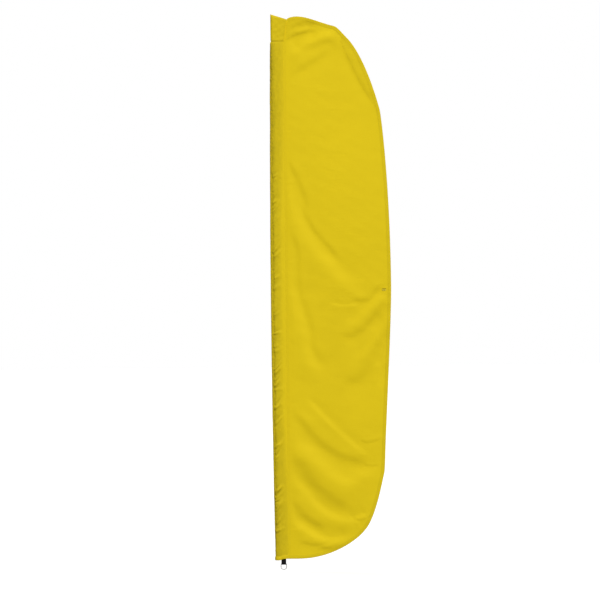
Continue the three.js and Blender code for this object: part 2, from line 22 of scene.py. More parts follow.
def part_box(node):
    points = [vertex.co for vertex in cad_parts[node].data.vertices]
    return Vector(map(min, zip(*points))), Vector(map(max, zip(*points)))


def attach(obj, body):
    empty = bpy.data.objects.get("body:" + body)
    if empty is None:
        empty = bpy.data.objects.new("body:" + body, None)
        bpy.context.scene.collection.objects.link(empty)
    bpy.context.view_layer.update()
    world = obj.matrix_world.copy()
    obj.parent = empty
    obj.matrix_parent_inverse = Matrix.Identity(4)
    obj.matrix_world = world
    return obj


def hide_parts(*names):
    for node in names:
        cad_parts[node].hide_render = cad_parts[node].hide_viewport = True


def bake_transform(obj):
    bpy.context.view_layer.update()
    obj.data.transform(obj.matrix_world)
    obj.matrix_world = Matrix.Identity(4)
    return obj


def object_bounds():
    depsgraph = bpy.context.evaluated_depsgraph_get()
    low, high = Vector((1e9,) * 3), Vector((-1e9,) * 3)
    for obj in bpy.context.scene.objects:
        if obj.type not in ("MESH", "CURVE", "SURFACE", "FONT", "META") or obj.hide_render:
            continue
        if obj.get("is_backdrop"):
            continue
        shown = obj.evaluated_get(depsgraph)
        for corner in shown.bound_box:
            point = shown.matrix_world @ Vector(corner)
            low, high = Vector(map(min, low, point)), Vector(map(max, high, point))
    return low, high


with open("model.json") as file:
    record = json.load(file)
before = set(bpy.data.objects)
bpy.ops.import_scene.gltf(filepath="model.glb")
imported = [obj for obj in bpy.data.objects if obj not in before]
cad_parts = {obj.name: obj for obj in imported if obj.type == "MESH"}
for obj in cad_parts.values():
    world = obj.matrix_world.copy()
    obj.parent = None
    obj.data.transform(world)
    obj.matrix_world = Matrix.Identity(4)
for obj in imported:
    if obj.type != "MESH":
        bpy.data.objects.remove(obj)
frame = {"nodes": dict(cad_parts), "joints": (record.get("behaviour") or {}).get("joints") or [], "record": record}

LOG = logging.getLogger("feather_flag")

Array = np.ndarray
Point = tuple[float, float]
Triple = tuple[float, float, float]

CUT_MAP = "cut"  # the UV map that holds a cloth's flat cut, in metres
SEED = 11


class Slot(str, Enum):
    """The record's material slots."""

    FLAG = "flag_polyester"
    HEM = "hem_polyester"
    WEBBING = "webbing"
    RING = "ring_steel"
    ALUMINIUM = "pole_aluminium"
    FIBREGLASS = "pole_fibreglass"
    BUSH = "bush_plastic"
    CAP = "cap_rubber"


class Side(Enum):
    """Which face of the flag a piece lies on."""

    FRONT = 1
    BACK = -1


# ---------------------------------------------------------------- shader maths


class Wire:
    """A shader socket with the arithmetic that the finishes use."""

    def __init__(self, tree: bpy.types.NodeTree, socket: bpy.types.NodeSocket) -> None:
        """Holds a socket of a node tree."""
        self.tree = tree
        self.socket = socket

    def _maths(self, operation: str, other: "Wire | float", swapped: bool = False) -> "Wire":
        """A Math node of this value and another, in either order."""
        node = self.tree.nodes.new("ShaderNodeMath")
        node.operation = operation
        for index, value in enumerate((other, self) if swapped else (self, other)):
            if isinstance(value, Wire):
                self.tree.links.new(value.socket, node.inputs[index])
            else:
                node.inputs[index].default_value = value
        return Wire(self.tree, node.outputs[0])

    def __add__(self, other: "Wire | float") -> "Wire":
        """The sum."""
        return self._maths("ADD", other)

    __radd__ = __add__

    def __sub__(self, other: "Wire | float") -> "Wire":
        """The difference."""
        return self._maths("SUBTRACT", other)

    def __rsub__(self, other: "Wire | float") -> "Wire":
        """The difference, the other way round."""
        return self._maths("SUBTRACT", other, swapped=True)

    def __mul__(self, other: "Wire | float") -> "Wire":
        """The product."""
        return self._maths("MULTIPLY", other)

    __rmul__ = __mul__

    def __truediv__(self, other: "Wire | float") -> "Wire":
        """The quotient."""
        return self._maths("DIVIDE", other)

    def sine(self) -> "Wire":
        """Its sine."""
        return self._maths("SINE", 0.0)

    def size(self) -> "Wire":
        """Its absolute value."""
        return self._maths("ABSOLUTE", 0.0)


class Finish:
    """A material under construction: its tree, and the nodes that finishes are made of."""

    def __init__(self, name: str, slot: Slot) -> None:
        """Starts a material with a Principled shader.

        Args:
            name: the finish's name.
            slot: the record's slot that it belongs to.
        """
        self.material = bpy.data.materials.new(name)
        self.material.use_nodes = True
        self.tree = self.material.node_tree
        self.shader = next(n for n in self.tree.nodes if n.type == "BSDF_PRINCIPLED")
        self.slot = slot

    def node(self, kind: str, settings: dict, output: int | str = 0, **inputs: object) -> Wire:
        """Any node, with its settings made first and then its sockets.

        Args:
            kind: the node's type name.
            settings: attributes of the node.
            output: the output that is wanted.
            **inputs: socket values or links, by name with spaces as underscores.

        Returns:
            The wanted output.
        """
        node = self.tree.nodes.new(kind)
        for key, value in settings.items():
            setattr(node, key, value)
        for key, value in inputs.items():
            wanted = key.replace("_", " ")
            socket = next(s for s in node.inputs if s.enabled and s.name.lower() == wanted.lower())
            self._feed(socket, value)
        return Wire(self.tree, node.outputs[output])

    def _feed(self, socket: bpy.types.NodeSocket, value: object) -> None:
        """Links a wire to a socket, or sets its value."""
        if isinstance(value, Wire):
            self.tree.links.new(value.socket, socket)
        else:
            socket.default_value = value

    def ramp(self, value: Wire, stops: Sequence[tuple[float, float]]) -> Wire:
        """A value through a curve of (place, level) stops."""
        node = self.tree.nodes.new("ShaderNodeValToRGB")
        elements = node.color_ramp.elements
        while len(elements) < len(stops):
            elements.new(0.5)
        for element, (place, level) in zip(elements, stops):
            element.position = place
            element.color = (level, level, level, 1)
        self.tree.links.new(value.socket, node.inputs[0])
        grey = self.tree.nodes.new("ShaderNodeSeparateColor")
        self.tree.links.new(node.outputs[0], grey.inputs[0])
        return Wire(self.tree, grey.outputs[0])

    def place(self) -> Wire:
        """The point's own coordinates on the object."""
        return self.node("ShaderNodeTexCoord", {}, "Object")

    def scaled(self, vector: Wire, *scale: float) -> Wire:
        """A place with each of its axes scaled on its own."""
        return self.node("ShaderNodeMapping", {}, 0, Vector=vector, Scale=scale)

    def cut(self) -> Wire:
        """The point's place on the flat cut."""
        return self.node("ShaderNodeUVMap", {"uv_map": CUT_MAP})

    def axes(self, vector: Wire) -> tuple[Wire, Wire, Wire]:
        """A vector's three numbers."""
        node = self.tree.nodes.new("ShaderNodeSeparateXYZ")
        self.tree.links.new(vector.socket, node.inputs[0])
        return tuple(Wire(self.tree, node.outputs[i]) for i in range(3))

    def noise(self, vector: Wire, scale: float, detail: float = 2.0, rough: float = 0.5) -> Wire:
        """Smooth noise from 0 to 1."""
        return self.node(
            "ShaderNodeTexNoise", {}, 0, Vector=vector, Scale=scale, Detail=detail, Roughness=rough
        )

    def mix(self, factor: Wire | float, a: object, b: object) -> Wire:
        """A colour between two colours."""
        node = self.tree.nodes.new("ShaderNodeMix")
        node.data_type = "RGBA"
        for index, value in ((0, factor), (6, a), (7, b)):
            if not isinstance(value, (Wire, float)):
                value = (*value, 1.0)
            self._feed(node.inputs[index], value)
        return Wire(self.tree, node.outputs[2])

    def bump(self, height: Wire, strength: float, distance: float, under: Optional[Wire] = None) -> Wire:
        """A bump over another normal."""
        inputs = {"Height": height, "Strength": strength, "Distance": distance}
        if under is not None:
            inputs["Normal"] = under
        return self.node("ShaderNodeBump", {}, 0, **inputs)

    def dress(self, **sockets: object) -> bpy.types.Material:
        """Sets the shader's sockets.

        Args:
            **sockets: values or links, by socket name with spaces as underscores.

        Returns:
            The material.
        """
        for key, value in sockets.items():
            self._feed(self.shader.inputs[key.replace("_", " ")], value)
        return self.material


def toned(colour: Triple, share: float, lift: float = 0.0) -> Triple:
    """A colour made darker or brighter by a share, and then lifted."""
    return tuple(c * share + lift for c in colour)


@dataclass(frozen=True)
class Polyester:
    """Woven flag polyester, with a plain weave, soft sheen and faint mottling; on the sleeve it also carries a
    band of painted shade.
    """

    name: str
    slot: Slot
    colour: Triple
    shade: Triple
    thread: float = 0.00045
    roughness: float = 0.7
    gloss: float = 0.10
    pole_shade: float = 0.0  # how strong the painted shade is along the sleeve's crease and on its side turned from the light, where the pole lies close behind the cloth

    def build(self) -> bpy.types.Material:
        """Makes the material."""
        f = Finish(self.name, self.slot)
        u, v, _ = f.axes(f.cut())
        place = f.place()
        turn = 2 * math.pi / self.thread
        warp, weft = (u * turn).sine(), (v * turn).sine()
        over = (u * (turn / 2)).sine() * (v * (turn / 2)).sine()
        weave = (warp * 0.5 + 0.5) * (over * 0.5 + 0.5) + (weft * 0.5 + 0.5) * (0.5 - over * 0.5)
        cloud = f.noise(place, 2.2, 3.0)
        slub = f.noise(f.scaled(f.cut(), 240.0, 26.0, 1.0), 1.0, 2.0)
        tone = f.ramp(cloud, [(0.3, 0.0), (0.72, 1.0)]) * 0.30 + slub * 0.20
        colour = f.mix(tone, self.colour, self.shade)
        # Painted shade: a darker band down the sleeve along its crease and on its side turned from the light,
        # wider near the top and the foot, broken up by noise.
        if self.pole_shade:
            x, _, z = f.axes(place)
            # how much wider the painted shade band is near the sleeve's top and foot
            ends = f.ramp(z * 0.37, [(0.0, 1.0), (0.12, 0.6), (0.28, 0.0), (0.62, 0.0), (0.85, 0.7)])
            # the painted shade band across the sleeve, darkest close to the pole's axis
            behind = f.ramp(
                (x + (ends * -0.005 + 0.005)) * 12.0 / (ends * 0.8 + 1.0) + 0.5,
                [
                    (0.28, 0.10), (0.33, 0.24), (0.40, 0.58), (0.44, 0.70), (0.48, 0.88), (0.515, 0.87),
                    (0.56, 0.71), (0.60, 0.60), (0.64, 0.55), (0.76, 0.44), (0.88, 0.30), (1.0, 0.05),
                ],
            )
            # noise that breaks the painted shade into irregular dark marks
            shade_mottle = f.noise(f.scaled(place, 55.0, 30.0, 26.0), 1.0, 4.0, 0.6)
            # the painted shade's colour
            deep = tuple(c * d for c, d in zip(self.colour, (0.54, 0.56, 0.7)))
            colour = f.mix(behind * (shade_mottle * 1.5 + 0.25) * self.pole_shade, colour, deep)
        streak = f.noise(f.scaled(place, 22.0, 22.0, 70.0), 1.0, 4.0, 0.6)
        normal = f.bump(streak, 0.30, 0.0022)
        normal = f.bump(weave, 0.22, 0.0001, normal)
        return f.dress(
            Base_Color=colour,
            Roughness=slub * 0.10 + (self.roughness - 0.05),
            Normal=normal,
            Sheen_Weight=0.04,
            Sheen_Roughness=0.4,
            Sheen_Tint=(1.0, 0.82, 0.12, 1.0),
            Specular_IOR_Level=self.gloss,
        )


@dataclass(frozen=True)
class Thread:
    """Twisted sewing thread."""

    name: str
    slot: Slot
    colour: Triple

    def build(self) -> bpy.types.Material:
        """Makes the material."""
        f = Finish(self.name, self.slot)
        place = f.place()
        x, _, z = f.axes(place)
        twist = ((x + z) * 9000.0).sine() * 0.5 + 0.5
        colour = f.mix(twist * 0.35, self.colour, toned(self.colour, 0.72))
        return f.dress(
            Base_Color=colour,
            Roughness=0.48 + f.noise(place, 900.0) * 0.1,
            Normal=f.bump(twist, 0.4, 0.00008),
            Specular_IOR_Level=0.15,
        )


@dataclass(frozen=True)
class Webbing:
    """Narrow woven polyester webbing with ribs across it and a bound edge."""

    name: str
    slot: Slot
    colour: Triple
    rib: float = 0.0011
    width: float = 0.0244

    def build(self) -> bpy.types.Material:
        """Makes the material."""
        f = Finish(self.name, self.slot)
        u, v, _ = f.axes(f.cut())
        turn = 2 * math.pi / self.rib
        rows = (v * turn).sine()
        columns = (u * (turn * 0.75)).sine()
        lattice = rows * 0.5 + (rows * columns) * 0.35
        edge = f.ramp((u * (2.0 / self.width)).size(), [(0.0, 0.0), (0.86, 0.0), (0.9, 1.0), (1.0, 1.0)])
        fuzz = f.noise(f.place(), 700.0, 3.0)
        tone = lattice * 0.35 + 0.4 + fuzz * 0.25
        lit = toned(self.colour, 1.8, 0.002)
        return f.dress(
            Base_Color=f.mix(tone, self.colour, lit),
            Roughness=fuzz * 0.15 + 0.66,
            Normal=f.bump(lattice + edge * 0.3 + fuzz * 0.2, 0.7, 0.0003),
            Sheen_Weight=0.03,
            Sheen_Roughness=0.5,
            Specular_IOR_Level=0.08,
        )


@dataclass(frozen=True)
class Metal:
    """Bright or satin metal with fine drawn lines."""

    name: str
    slot: Slot
    colour: Triple
    roughness: float
    lines: float = 0.06

    def build(self) -> bpy.types.Material:
        """Makes the material."""
        f = Finish(self.name, self.slot)
        place = f.place()
        drawn = f.noise(f.scaled(place, 60.0, 60.0, 2600.0), 1.0, 3.0)
        smear = f.noise(place, 60.0, 2.0)
        return f.dress(
            Base_Color=f.mix(smear * 0.5, self.colour, toned(self.colour, 0.82)),
            Metallic=1.0,
            Roughness=drawn * self.lines + smear * self.lines + (self.roughness - self.lines / 2),
            Normal=f.bump(drawn, 0.08, 0.00005),
        )


@dataclass(frozen=True)
class Fibreglass:
    """Pultruded black fibreglass: long fibres along the tube under a rubbed gloss."""

    name: str
    slot: Slot
    colour: Triple

    def build(self) -> bpy.types.Material:
        """Makes the material."""
        f = Finish(self.name, self.slot)
        place = f.place()
        fibre = f.noise(f.scaled(place, 900.0, 900.0, 9.0), 1.0, 2.0)
        rub = f.ramp(f.noise(place, 18.0, 4.0, 0.6), [(0.45, 0.0), (0.75, 1.0)])
        colour = f.mix(fibre * 0.6, self.colour, toned(self.colour, 2.6, 0.006))
        return f.dress(
            Base_Color=f.mix(rub * 0.4, colour, (0.05, 0.05, 0.052)),
            Roughness=rub * 0.22 + fibre * 0.08 + 0.26,
            Normal=f.bump(fibre, 0.2, 0.00006),
            Coat_Weight=0.25,
            Coat_Roughness=0.2,
        )


@dataclass(frozen=True)
class Moulded:
    """Moulded plastic or rubber with a fine spark-eroded grain."""

    name: str
    slot: Slot
    colour: Triple
    roughness: float
    grain: float = 1400.0

    def build(self) -> bpy.types.Material:
        """Makes the material."""
        f = Finish(self.name, self.slot)
        place = f.place()
        grain = f.noise(place, self.grain, 3.0)
        scuff = f.ramp(f.noise(place, 70.0, 4.0, 0.65), [(0.5, 0.0), (0.8, 1.0)])
        colour = f.mix(scuff * 0.5, self.colour, toned(self.colour, 1.9, 0.01))
        return f.dress(
            Base_Color=colour,
            Roughness=grain * 0.1 + scuff * 0.08 + (self.roughness - 0.08),
            Normal=f.bump(grain, 0.25, 0.00006),
        )


class Wardrobe:
    """Every finish of the flag, made once."""

    def __init__(self) -> None:
        """Builds the materials from the record's slots."""
        base = {Slot(m["slot"]): tuple(m["base_color"]) for m in frame["record"]["materials"]}
        flag = tuple(c * d for c, d in zip(base[Slot.FLAG], (1.035, 0.985, 0.62)))
        hem = tuple(c * d for c, d in zip(flag, (0.90, 0.905, 0.95)))

        def cloth(
            name: str, slot: Slot, colour: Triple, light: float, dark: float, **looks: float
        ) -> bpy.types.Material:
            """A polyester finish in two tones of one colour."""
            return Polyester(name, slot, toned(colour, light), toned(colour, dark), **looks).build()

        def metal(name: str, slot: Slot, share: float, rough: float, **looks: float) -> bpy.types.Material:
            """A metal finish in a share of its slot's colour."""
            return Metal(name, slot, toned(base[slot], share), rough, **looks).build()

        self.panel = cloth("woven polyester", Slot.FLAG, flag, 1.0, 0.86)
        # The sleeve's cloth is a little darker than the panel's as painted shade, and it carries the painted shade
        # band along its crease.
        self.sleeve = cloth("woven polyester over the pole", Slot.FLAG, flag, 0.97, 0.84, pole_shade=0.78)
        self.hem = cloth("folded polyester hem", Slot.HEM, hem, 1.0, 0.9)
        # Painted shade: the doubled pieces are a darker copy of the panel's cloth, for the darker band along the
        # head and upper free edge.
        self.facing = cloth("doubled polyester", Slot.FLAG, flag, 0.945, 0.84)
        self.binding = cloth("flat polyester binding", Slot.HEM, flag, 0.965, 0.86)
        self.pocket = cloth("reinforced polyester", Slot.HEM, hem, 0.97, 0.86)
        self.thread = Thread("yellow thread", Slot.HEM, hem).build()
        # the tack's dark thread is painted shadow of a small fold above it
        self.fold_shadow_thread = Thread("olive thread for painted fold shadow", Slot.HEM, toned(hem, 0.76)).build()
        self.pale_thread = Thread("pale thread", Slot.HEM, (0.80, 0.66, 0.06)).build()
        self.black_thread = Thread("black thread", Slot.WEBBING, (0.012, 0.012, 0.014)).build()
        self.webbing = Webbing("black webbing", Slot.WEBBING, toned(base[Slot.WEBBING], 0.6)).build()
        self.ring = metal("bright steel wire", Slot.RING, 0.55, 0.42)
        self.aluminium = metal("satin aluminium", Slot.ALUMINIUM, 1.0, 0.34, lines=0.12)
        self.fibreglass = Fibreglass("black fibreglass", Slot.FIBREGLASS, base[Slot.FIBREGLASS]).build()
        self.bush = Moulded("moulded nylon", Slot.BUSH, base[Slot.BUSH], 0.5).build()
        self.rubber = Moulded("moulded rubber", Slot.CAP, base[Slot.CAP], 0.78, 900.0).build()


# ---------------------------------------------------------------- mesh making


def make_piece(
    name: str,
    points: Array,
    faces: Iterable[Sequence[int]],
    material: bpy.types.Material,
    cut: Optional[Array] = None,
) -> bpy.types.Object:
    """A smooth mesh object at the origin.

    Args:
        name: the piece's name.
        points: its vertices, in metres.
        faces: its faces, as vertex numbers.
        material: its finish.
        cut: for cloth, each vertex's place on the flat cut, in metres.

    Returns:
        The object, linked to the scene.
    """
    mesh = bpy.data.meshes.new(name)
    mesh.from_pydata(np.asarray(points, float).tolist(), [], [list(map(int, f)) for f in faces])
    mesh.validate()
    mesh.materials.append(material)
    mesh.shade_smooth()
    if cut is not None:
        mesh.set_sharp_from_angle(angle=math.radians(52))
        layer = mesh.uv_layers.new(name=CUT_MAP)
        corner = np.zeros(len(mesh.loops), np.int32)
        mesh.loops.foreach_get("vertex_index", corner)
        layer.data.foreach_set("uv", np.asarray(cut, np.float32)[corner].ravel())
    piece = bpy.data.objects.new(name, mesh)
    bpy.context.scene.collection.objects.link(piece)
    return piece


def run_along(line: Array) -> Array:
    """How far along a line each of its points lies."""
    return np.r_[0, np.cumsum(np.linalg.norm(np.diff(line, axis=0), axis=1))]


def smooth_line(points: Array, step: float, closed: bool = False) -> Array:
    """Points at an even step along a smooth curve through given ones.

    Args:
        points: the points to pass through.
        step: the spacing wanted.
        closed: whether the curve runs round to its start.

    Returns:
        The new points.
    """
    p = np.asarray(points, float)
    if closed:
        padded = np.vstack([p[-1:], p, p[:2]])
    else:
        padded = np.vstack([2 * p[0] - p[1], p, 2 * p[-1] - p[-2]])
    fine = []
    for i in range(1, len(padded) - 2):
        a, b, c, d = padded[i - 1 : i + 3]
        t = np.linspace(0, 1, 13)[:-1, None]
        tan_b = (c - a) / max(np.linalg.norm(c - b) + np.linalg.norm(b - a), 1e-9) * np.linalg.norm(c - b)
        tan_c = (d - b) / max(np.linalg.norm(d - c) + np.linalg.norm(c - b), 1e-9) * np.linalg.norm(c - b)
        h1, h2 = 2 * t**3 - 3 * t**2 + 1, t**3 - 2 * t**2 + t
        h3, h4 = -2 * t**3 + 3 * t**2, t**3 - t**2
        fine.append(h1 * b + h2 * tan_b + h3 * c + h4 * tan_c)
    line = np.vstack([*fine, padded[-2][None]])
    along = run_along(line)
    count = max(2, int(round(along[-1] / step)) + 1)
    at = np.linspace(0, along[-1], count)
    even = np.stack([np.interp(at, along, line[:, k]) for k in range(line.shape[1])], 1)
    return even[:-1] if closed else even


def moved_right(line: Array, distance: float | Array, closed: bool = False) -> Array:
    """A line in its plane moved to its right-hand side.

    Args:
        line: the points, in order.
        distance: how far to move them, or a column with each point's own distance.
        closed: whether the line runs round.

    Returns:
        The moved points.
    """
    if closed:
        along = np.roll(line, -1, 0) - np.roll(line, 1, 0)
    else:
        along = np.gradient(line, axis=0)
    along /= np.maximum(np.linalg.norm(along, axis=1, keepdims=True), 1e-9)
    return line + distance * np.stack([along[:, 1], -along[:, 0]], 1)


class Outline:
    """The outline of a flat CAD node in XZ, read from its mesh."""

    def __init__(self, node: str) -> None:
        """Reads the front face's edge.

        Args:
            node: the CAD node's name.
        """
        work = bmesh.new()
        work.from_mesh(frame["nodes"][node].data)
        bmesh.ops.remove_doubles(work, verts=work.verts, dist=1e-6)
        front = min(v.co.y for v in work.verts)
        edges = {}
        for face in work.faces:
            if all(abs(v.co.y - front) < 1e-5 for v in face.verts):
                loop = [v.index for v in face.verts]
                for a, b in zip(loop, loop[1:] + loop[:1]):
                    edges[a, b] = edges.get((a, b), 0) + 1
        after = {a: b for a, b in edges if (b, a) not in edges}
        work.verts.ensure_lookup_table()
        start = min(after, key=lambda i: (work.verts[i].co.x, work.verts[i].co.z))
        order, here = [start], after[start]
        while here != start and len(order) <= len(after):
            order.append(here)
            here = after[here]
        self.points = np.array([[work.verts[i].co.x, work.verts[i].co.z] for i in order])
        work.free()
        area = 0.5 * np.sum(
            self.points[:, 0] * np.roll(self.points[:, 1], -1)
            - np.roll(self.points[:, 0], -1) * self.points[:, 1]
        )
        if area > 0:
            self.points = self.points[::-1]
        self.area = abs(area)

    def corners(self, sharp: float = 18.0) -> list[int]:
        """The points where the outline turns by more than an angle in degrees."""
        ahead = np.roll(self.points, -1, 0) - self.points
        behind = self.points - np.roll(self.points, 1, 0)
        turn = np.arctan2(
            behind[:, 0] * ahead[:, 1] - behind[:, 1] * ahead[:, 0], (behind * ahead).sum(1)
        )
        return [i for i, t in enumerate(turn) if abs(math.degrees(t)) > sharp]

    def fine(self, step: float) -> Array:
        """The outline at an even step, smooth between its corners, clockwise seen from the front."""
        corners = self.corners()
        if not corners:
            return smooth_line(self.points, step, closed=True)
        rolled = np.roll(self.points, -corners[0], 0)
        stops = [(c - corners[0]) % len(rolled) for c in corners] + [len(rolled)]
        rolled = np.vstack([rolled, rolled[:1]])
        runs = [smooth_line(rolled[a : b + 1], step)[:-1] for a, b in zip(stops, stops[1:])]
        return np.vstack(runs)


def inside(points: Array, loop: Array) -> Array:
    """Which points lie inside a closed loop in the plane."""
    x, y = points[:, 0], points[:, 1]
    result = np.zeros(len(points), bool)
    ends = np.roll(loop, -1, 0)
    for (x1, y1), (x2, y2) in zip(loop, ends):
        crosses = (y1 > y) != (y2 > y)
        with np.errstate(divide="ignore", invalid="ignore"):
            at = (x2 - x1) * (y - y1) / (y2 - y1) + x1
        result ^= crosses & (x < at)
    return result


def fill_outline(loop: Array, step: float) -> tuple[Array, list[list[int]]]:
    """An even triangle mesh inside an outline.

    Args:
        loop: the outline, closed, at about the same step.
        step: the spacing of the points inside.

    Returns:
        The points and the triangles, anticlockwise in XZ.
    """
    low, high = loop.min(0), loop.max(0)
    rows = np.arange(low[1], high[1] + step, step * math.sqrt(3) / 2)
    cells = []
    for i, z in enumerate(rows):
        x = np.arange(low[0] + (step / 2 if i % 2 else 0), high[0] + step, step)
        cells.append(np.stack([x, np.full_like(x, z)], 1))
    grid = np.vstack(cells)
    grid = grid[inside(grid, moved_right(loop, step * 0.62, closed=True))]
    points = np.vstack([loop, grid])
    ring = [(i, (i + 1) % len(loop)) for i in range(len(loop))]
    made = delaunay_2d_cdt([Vector(p) for p in points], ring, [], 1, 1e-7)
    flat = np.array([[v.x, v.y] for v in made[0]])
    return flat, [list(f) for f in made[2]]


# ---------------------------------------------------------------- the drape


class Lie(Enum):
    """Whether the cloth turns towards the light along a fold, or away from it."""

    LIT = 1
    SHADED = -1


class Kind(Enum):
    """How a fold is shaped: its depth, its width and how far it reaches, in metres."""

    SWAG = (0.0055, 0.034, 0.085)
    PLEAT = (0.0040, 0.022, 0.050)
    CREASE = (0.0024, 0.014, 0.035)
    CRINKLE = (0.0011, 0.007, 0.017)


@dataclass(frozen=True)
class Fold:
    """A band of the cloth that turns one way, along a smooth line in XZ."""

    lie: Lie
    kind: Kind
    line: tuple[Point, ...]

    def height(self, x: Array, z: Array) -> Array:
        """How far the fold lifts the cloth to the front at points of the panel."""
        path = smooth_line(np.array(self.line), 0.02)
        best = np.full(x.shape, np.inf)
        offset = np.zeros(x.shape)
        share = np.zeros(x.shape)
        count = len(path) - 1
        overall = path[-1] - path[0]
        normal = np.array([overall[1], -overall[0]])
        towards = 1.0 if normal @ np.array([0.48, 0.88]) > 0 else -1.0
        for k, (a, b) in enumerate(zip(path[:-1], path[1:])):
            run = b - a
            length = np.hypot(*run)
            t = np.clip(((x - a[0]) * run[0] + (z - a[1]) * run[1]) / length**2, 0, 1)
            dx, dz = x - a[0] - t * run[0], z - a[1] - t * run[1]
            away = np.hypot(dx, dz)
            nearer = away < best
            best = np.where(nearer, away, best)
            side = (dx * run[1] - dz * run[0]) / length * towards
            offset = np.where(nearer, np.where(side >= 0, away, -away), offset)
            share = np.where(nearer, (k + t) / count, share)
        fade = np.clip(np.minimum(share, 1 - share) / 0.22, 0, 1)
        fade = fade * fade * (3 - 2 * fade)
        depth, width, reach = self.kind.value
        step = np.tanh(offset / width) * np.exp(-((offset / reach) ** 2))
        return -self.lie.value * depth * fade * step


class Ripple:
    """Smooth random relief made of a few waves, the same on every run."""

    def __init__(self, seed: int, shortest: float, longest: float, waves: int = 14) -> None:
        """Chooses the waves.

        Args:
            seed: the choice's seed.
            shortest: the shortest wavelength, in metres.
            longest: the longest.
            waves: how many there are.
        """
        chance = np.random.default_rng(seed)
        angle = chance.uniform(0, 2 * math.pi, waves)
        number = 2 * math.pi / np.exp(chance.uniform(math.log(shortest), math.log(longest), waves))
        self.kx, self.kz = number * np.cos(angle), number * np.sin(angle)
        self.phase = chance.uniform(0, 2 * math.pi, waves)

    def at(self, x: Array, z: Array) -> Array:
        """The relief from about -1 to 1."""
        total = np.zeros(np.shape(x))
        for kx, kz, phase in zip(self.kx, self.kz, self.phase):
            total = total + np.sin(kx * x + kz * z + phase)
        return total / math.sqrt(len(self.phase) * 2)


@dataclass(frozen=True)
class Pucker:
    """A short wrinkle in the sleeve that runs from its crease towards the seam."""

    z: float
    rise: float
    length: float
    width: float
    height: float

    def lift(self, x: Array, z: Array, start: float) -> Array:
        """How far it lifts the sleeve's front at points seen from the front."""
        t = np.clip((x - start) / self.length, 0, 1)
        across = z - (self.z + self.rise * t)
        spread = self.width * (0.45 + 1.1 * t)
        fade = np.clip((x - start) / 0.004, 0, 1) * (1 - t) ** 1.2
        ridge = np.exp(-((across / spread) ** 2)) - 0.55 * np.exp(-(((across - 1.5 * spread) / spread) ** 2))
        return self.height * fade * ridge


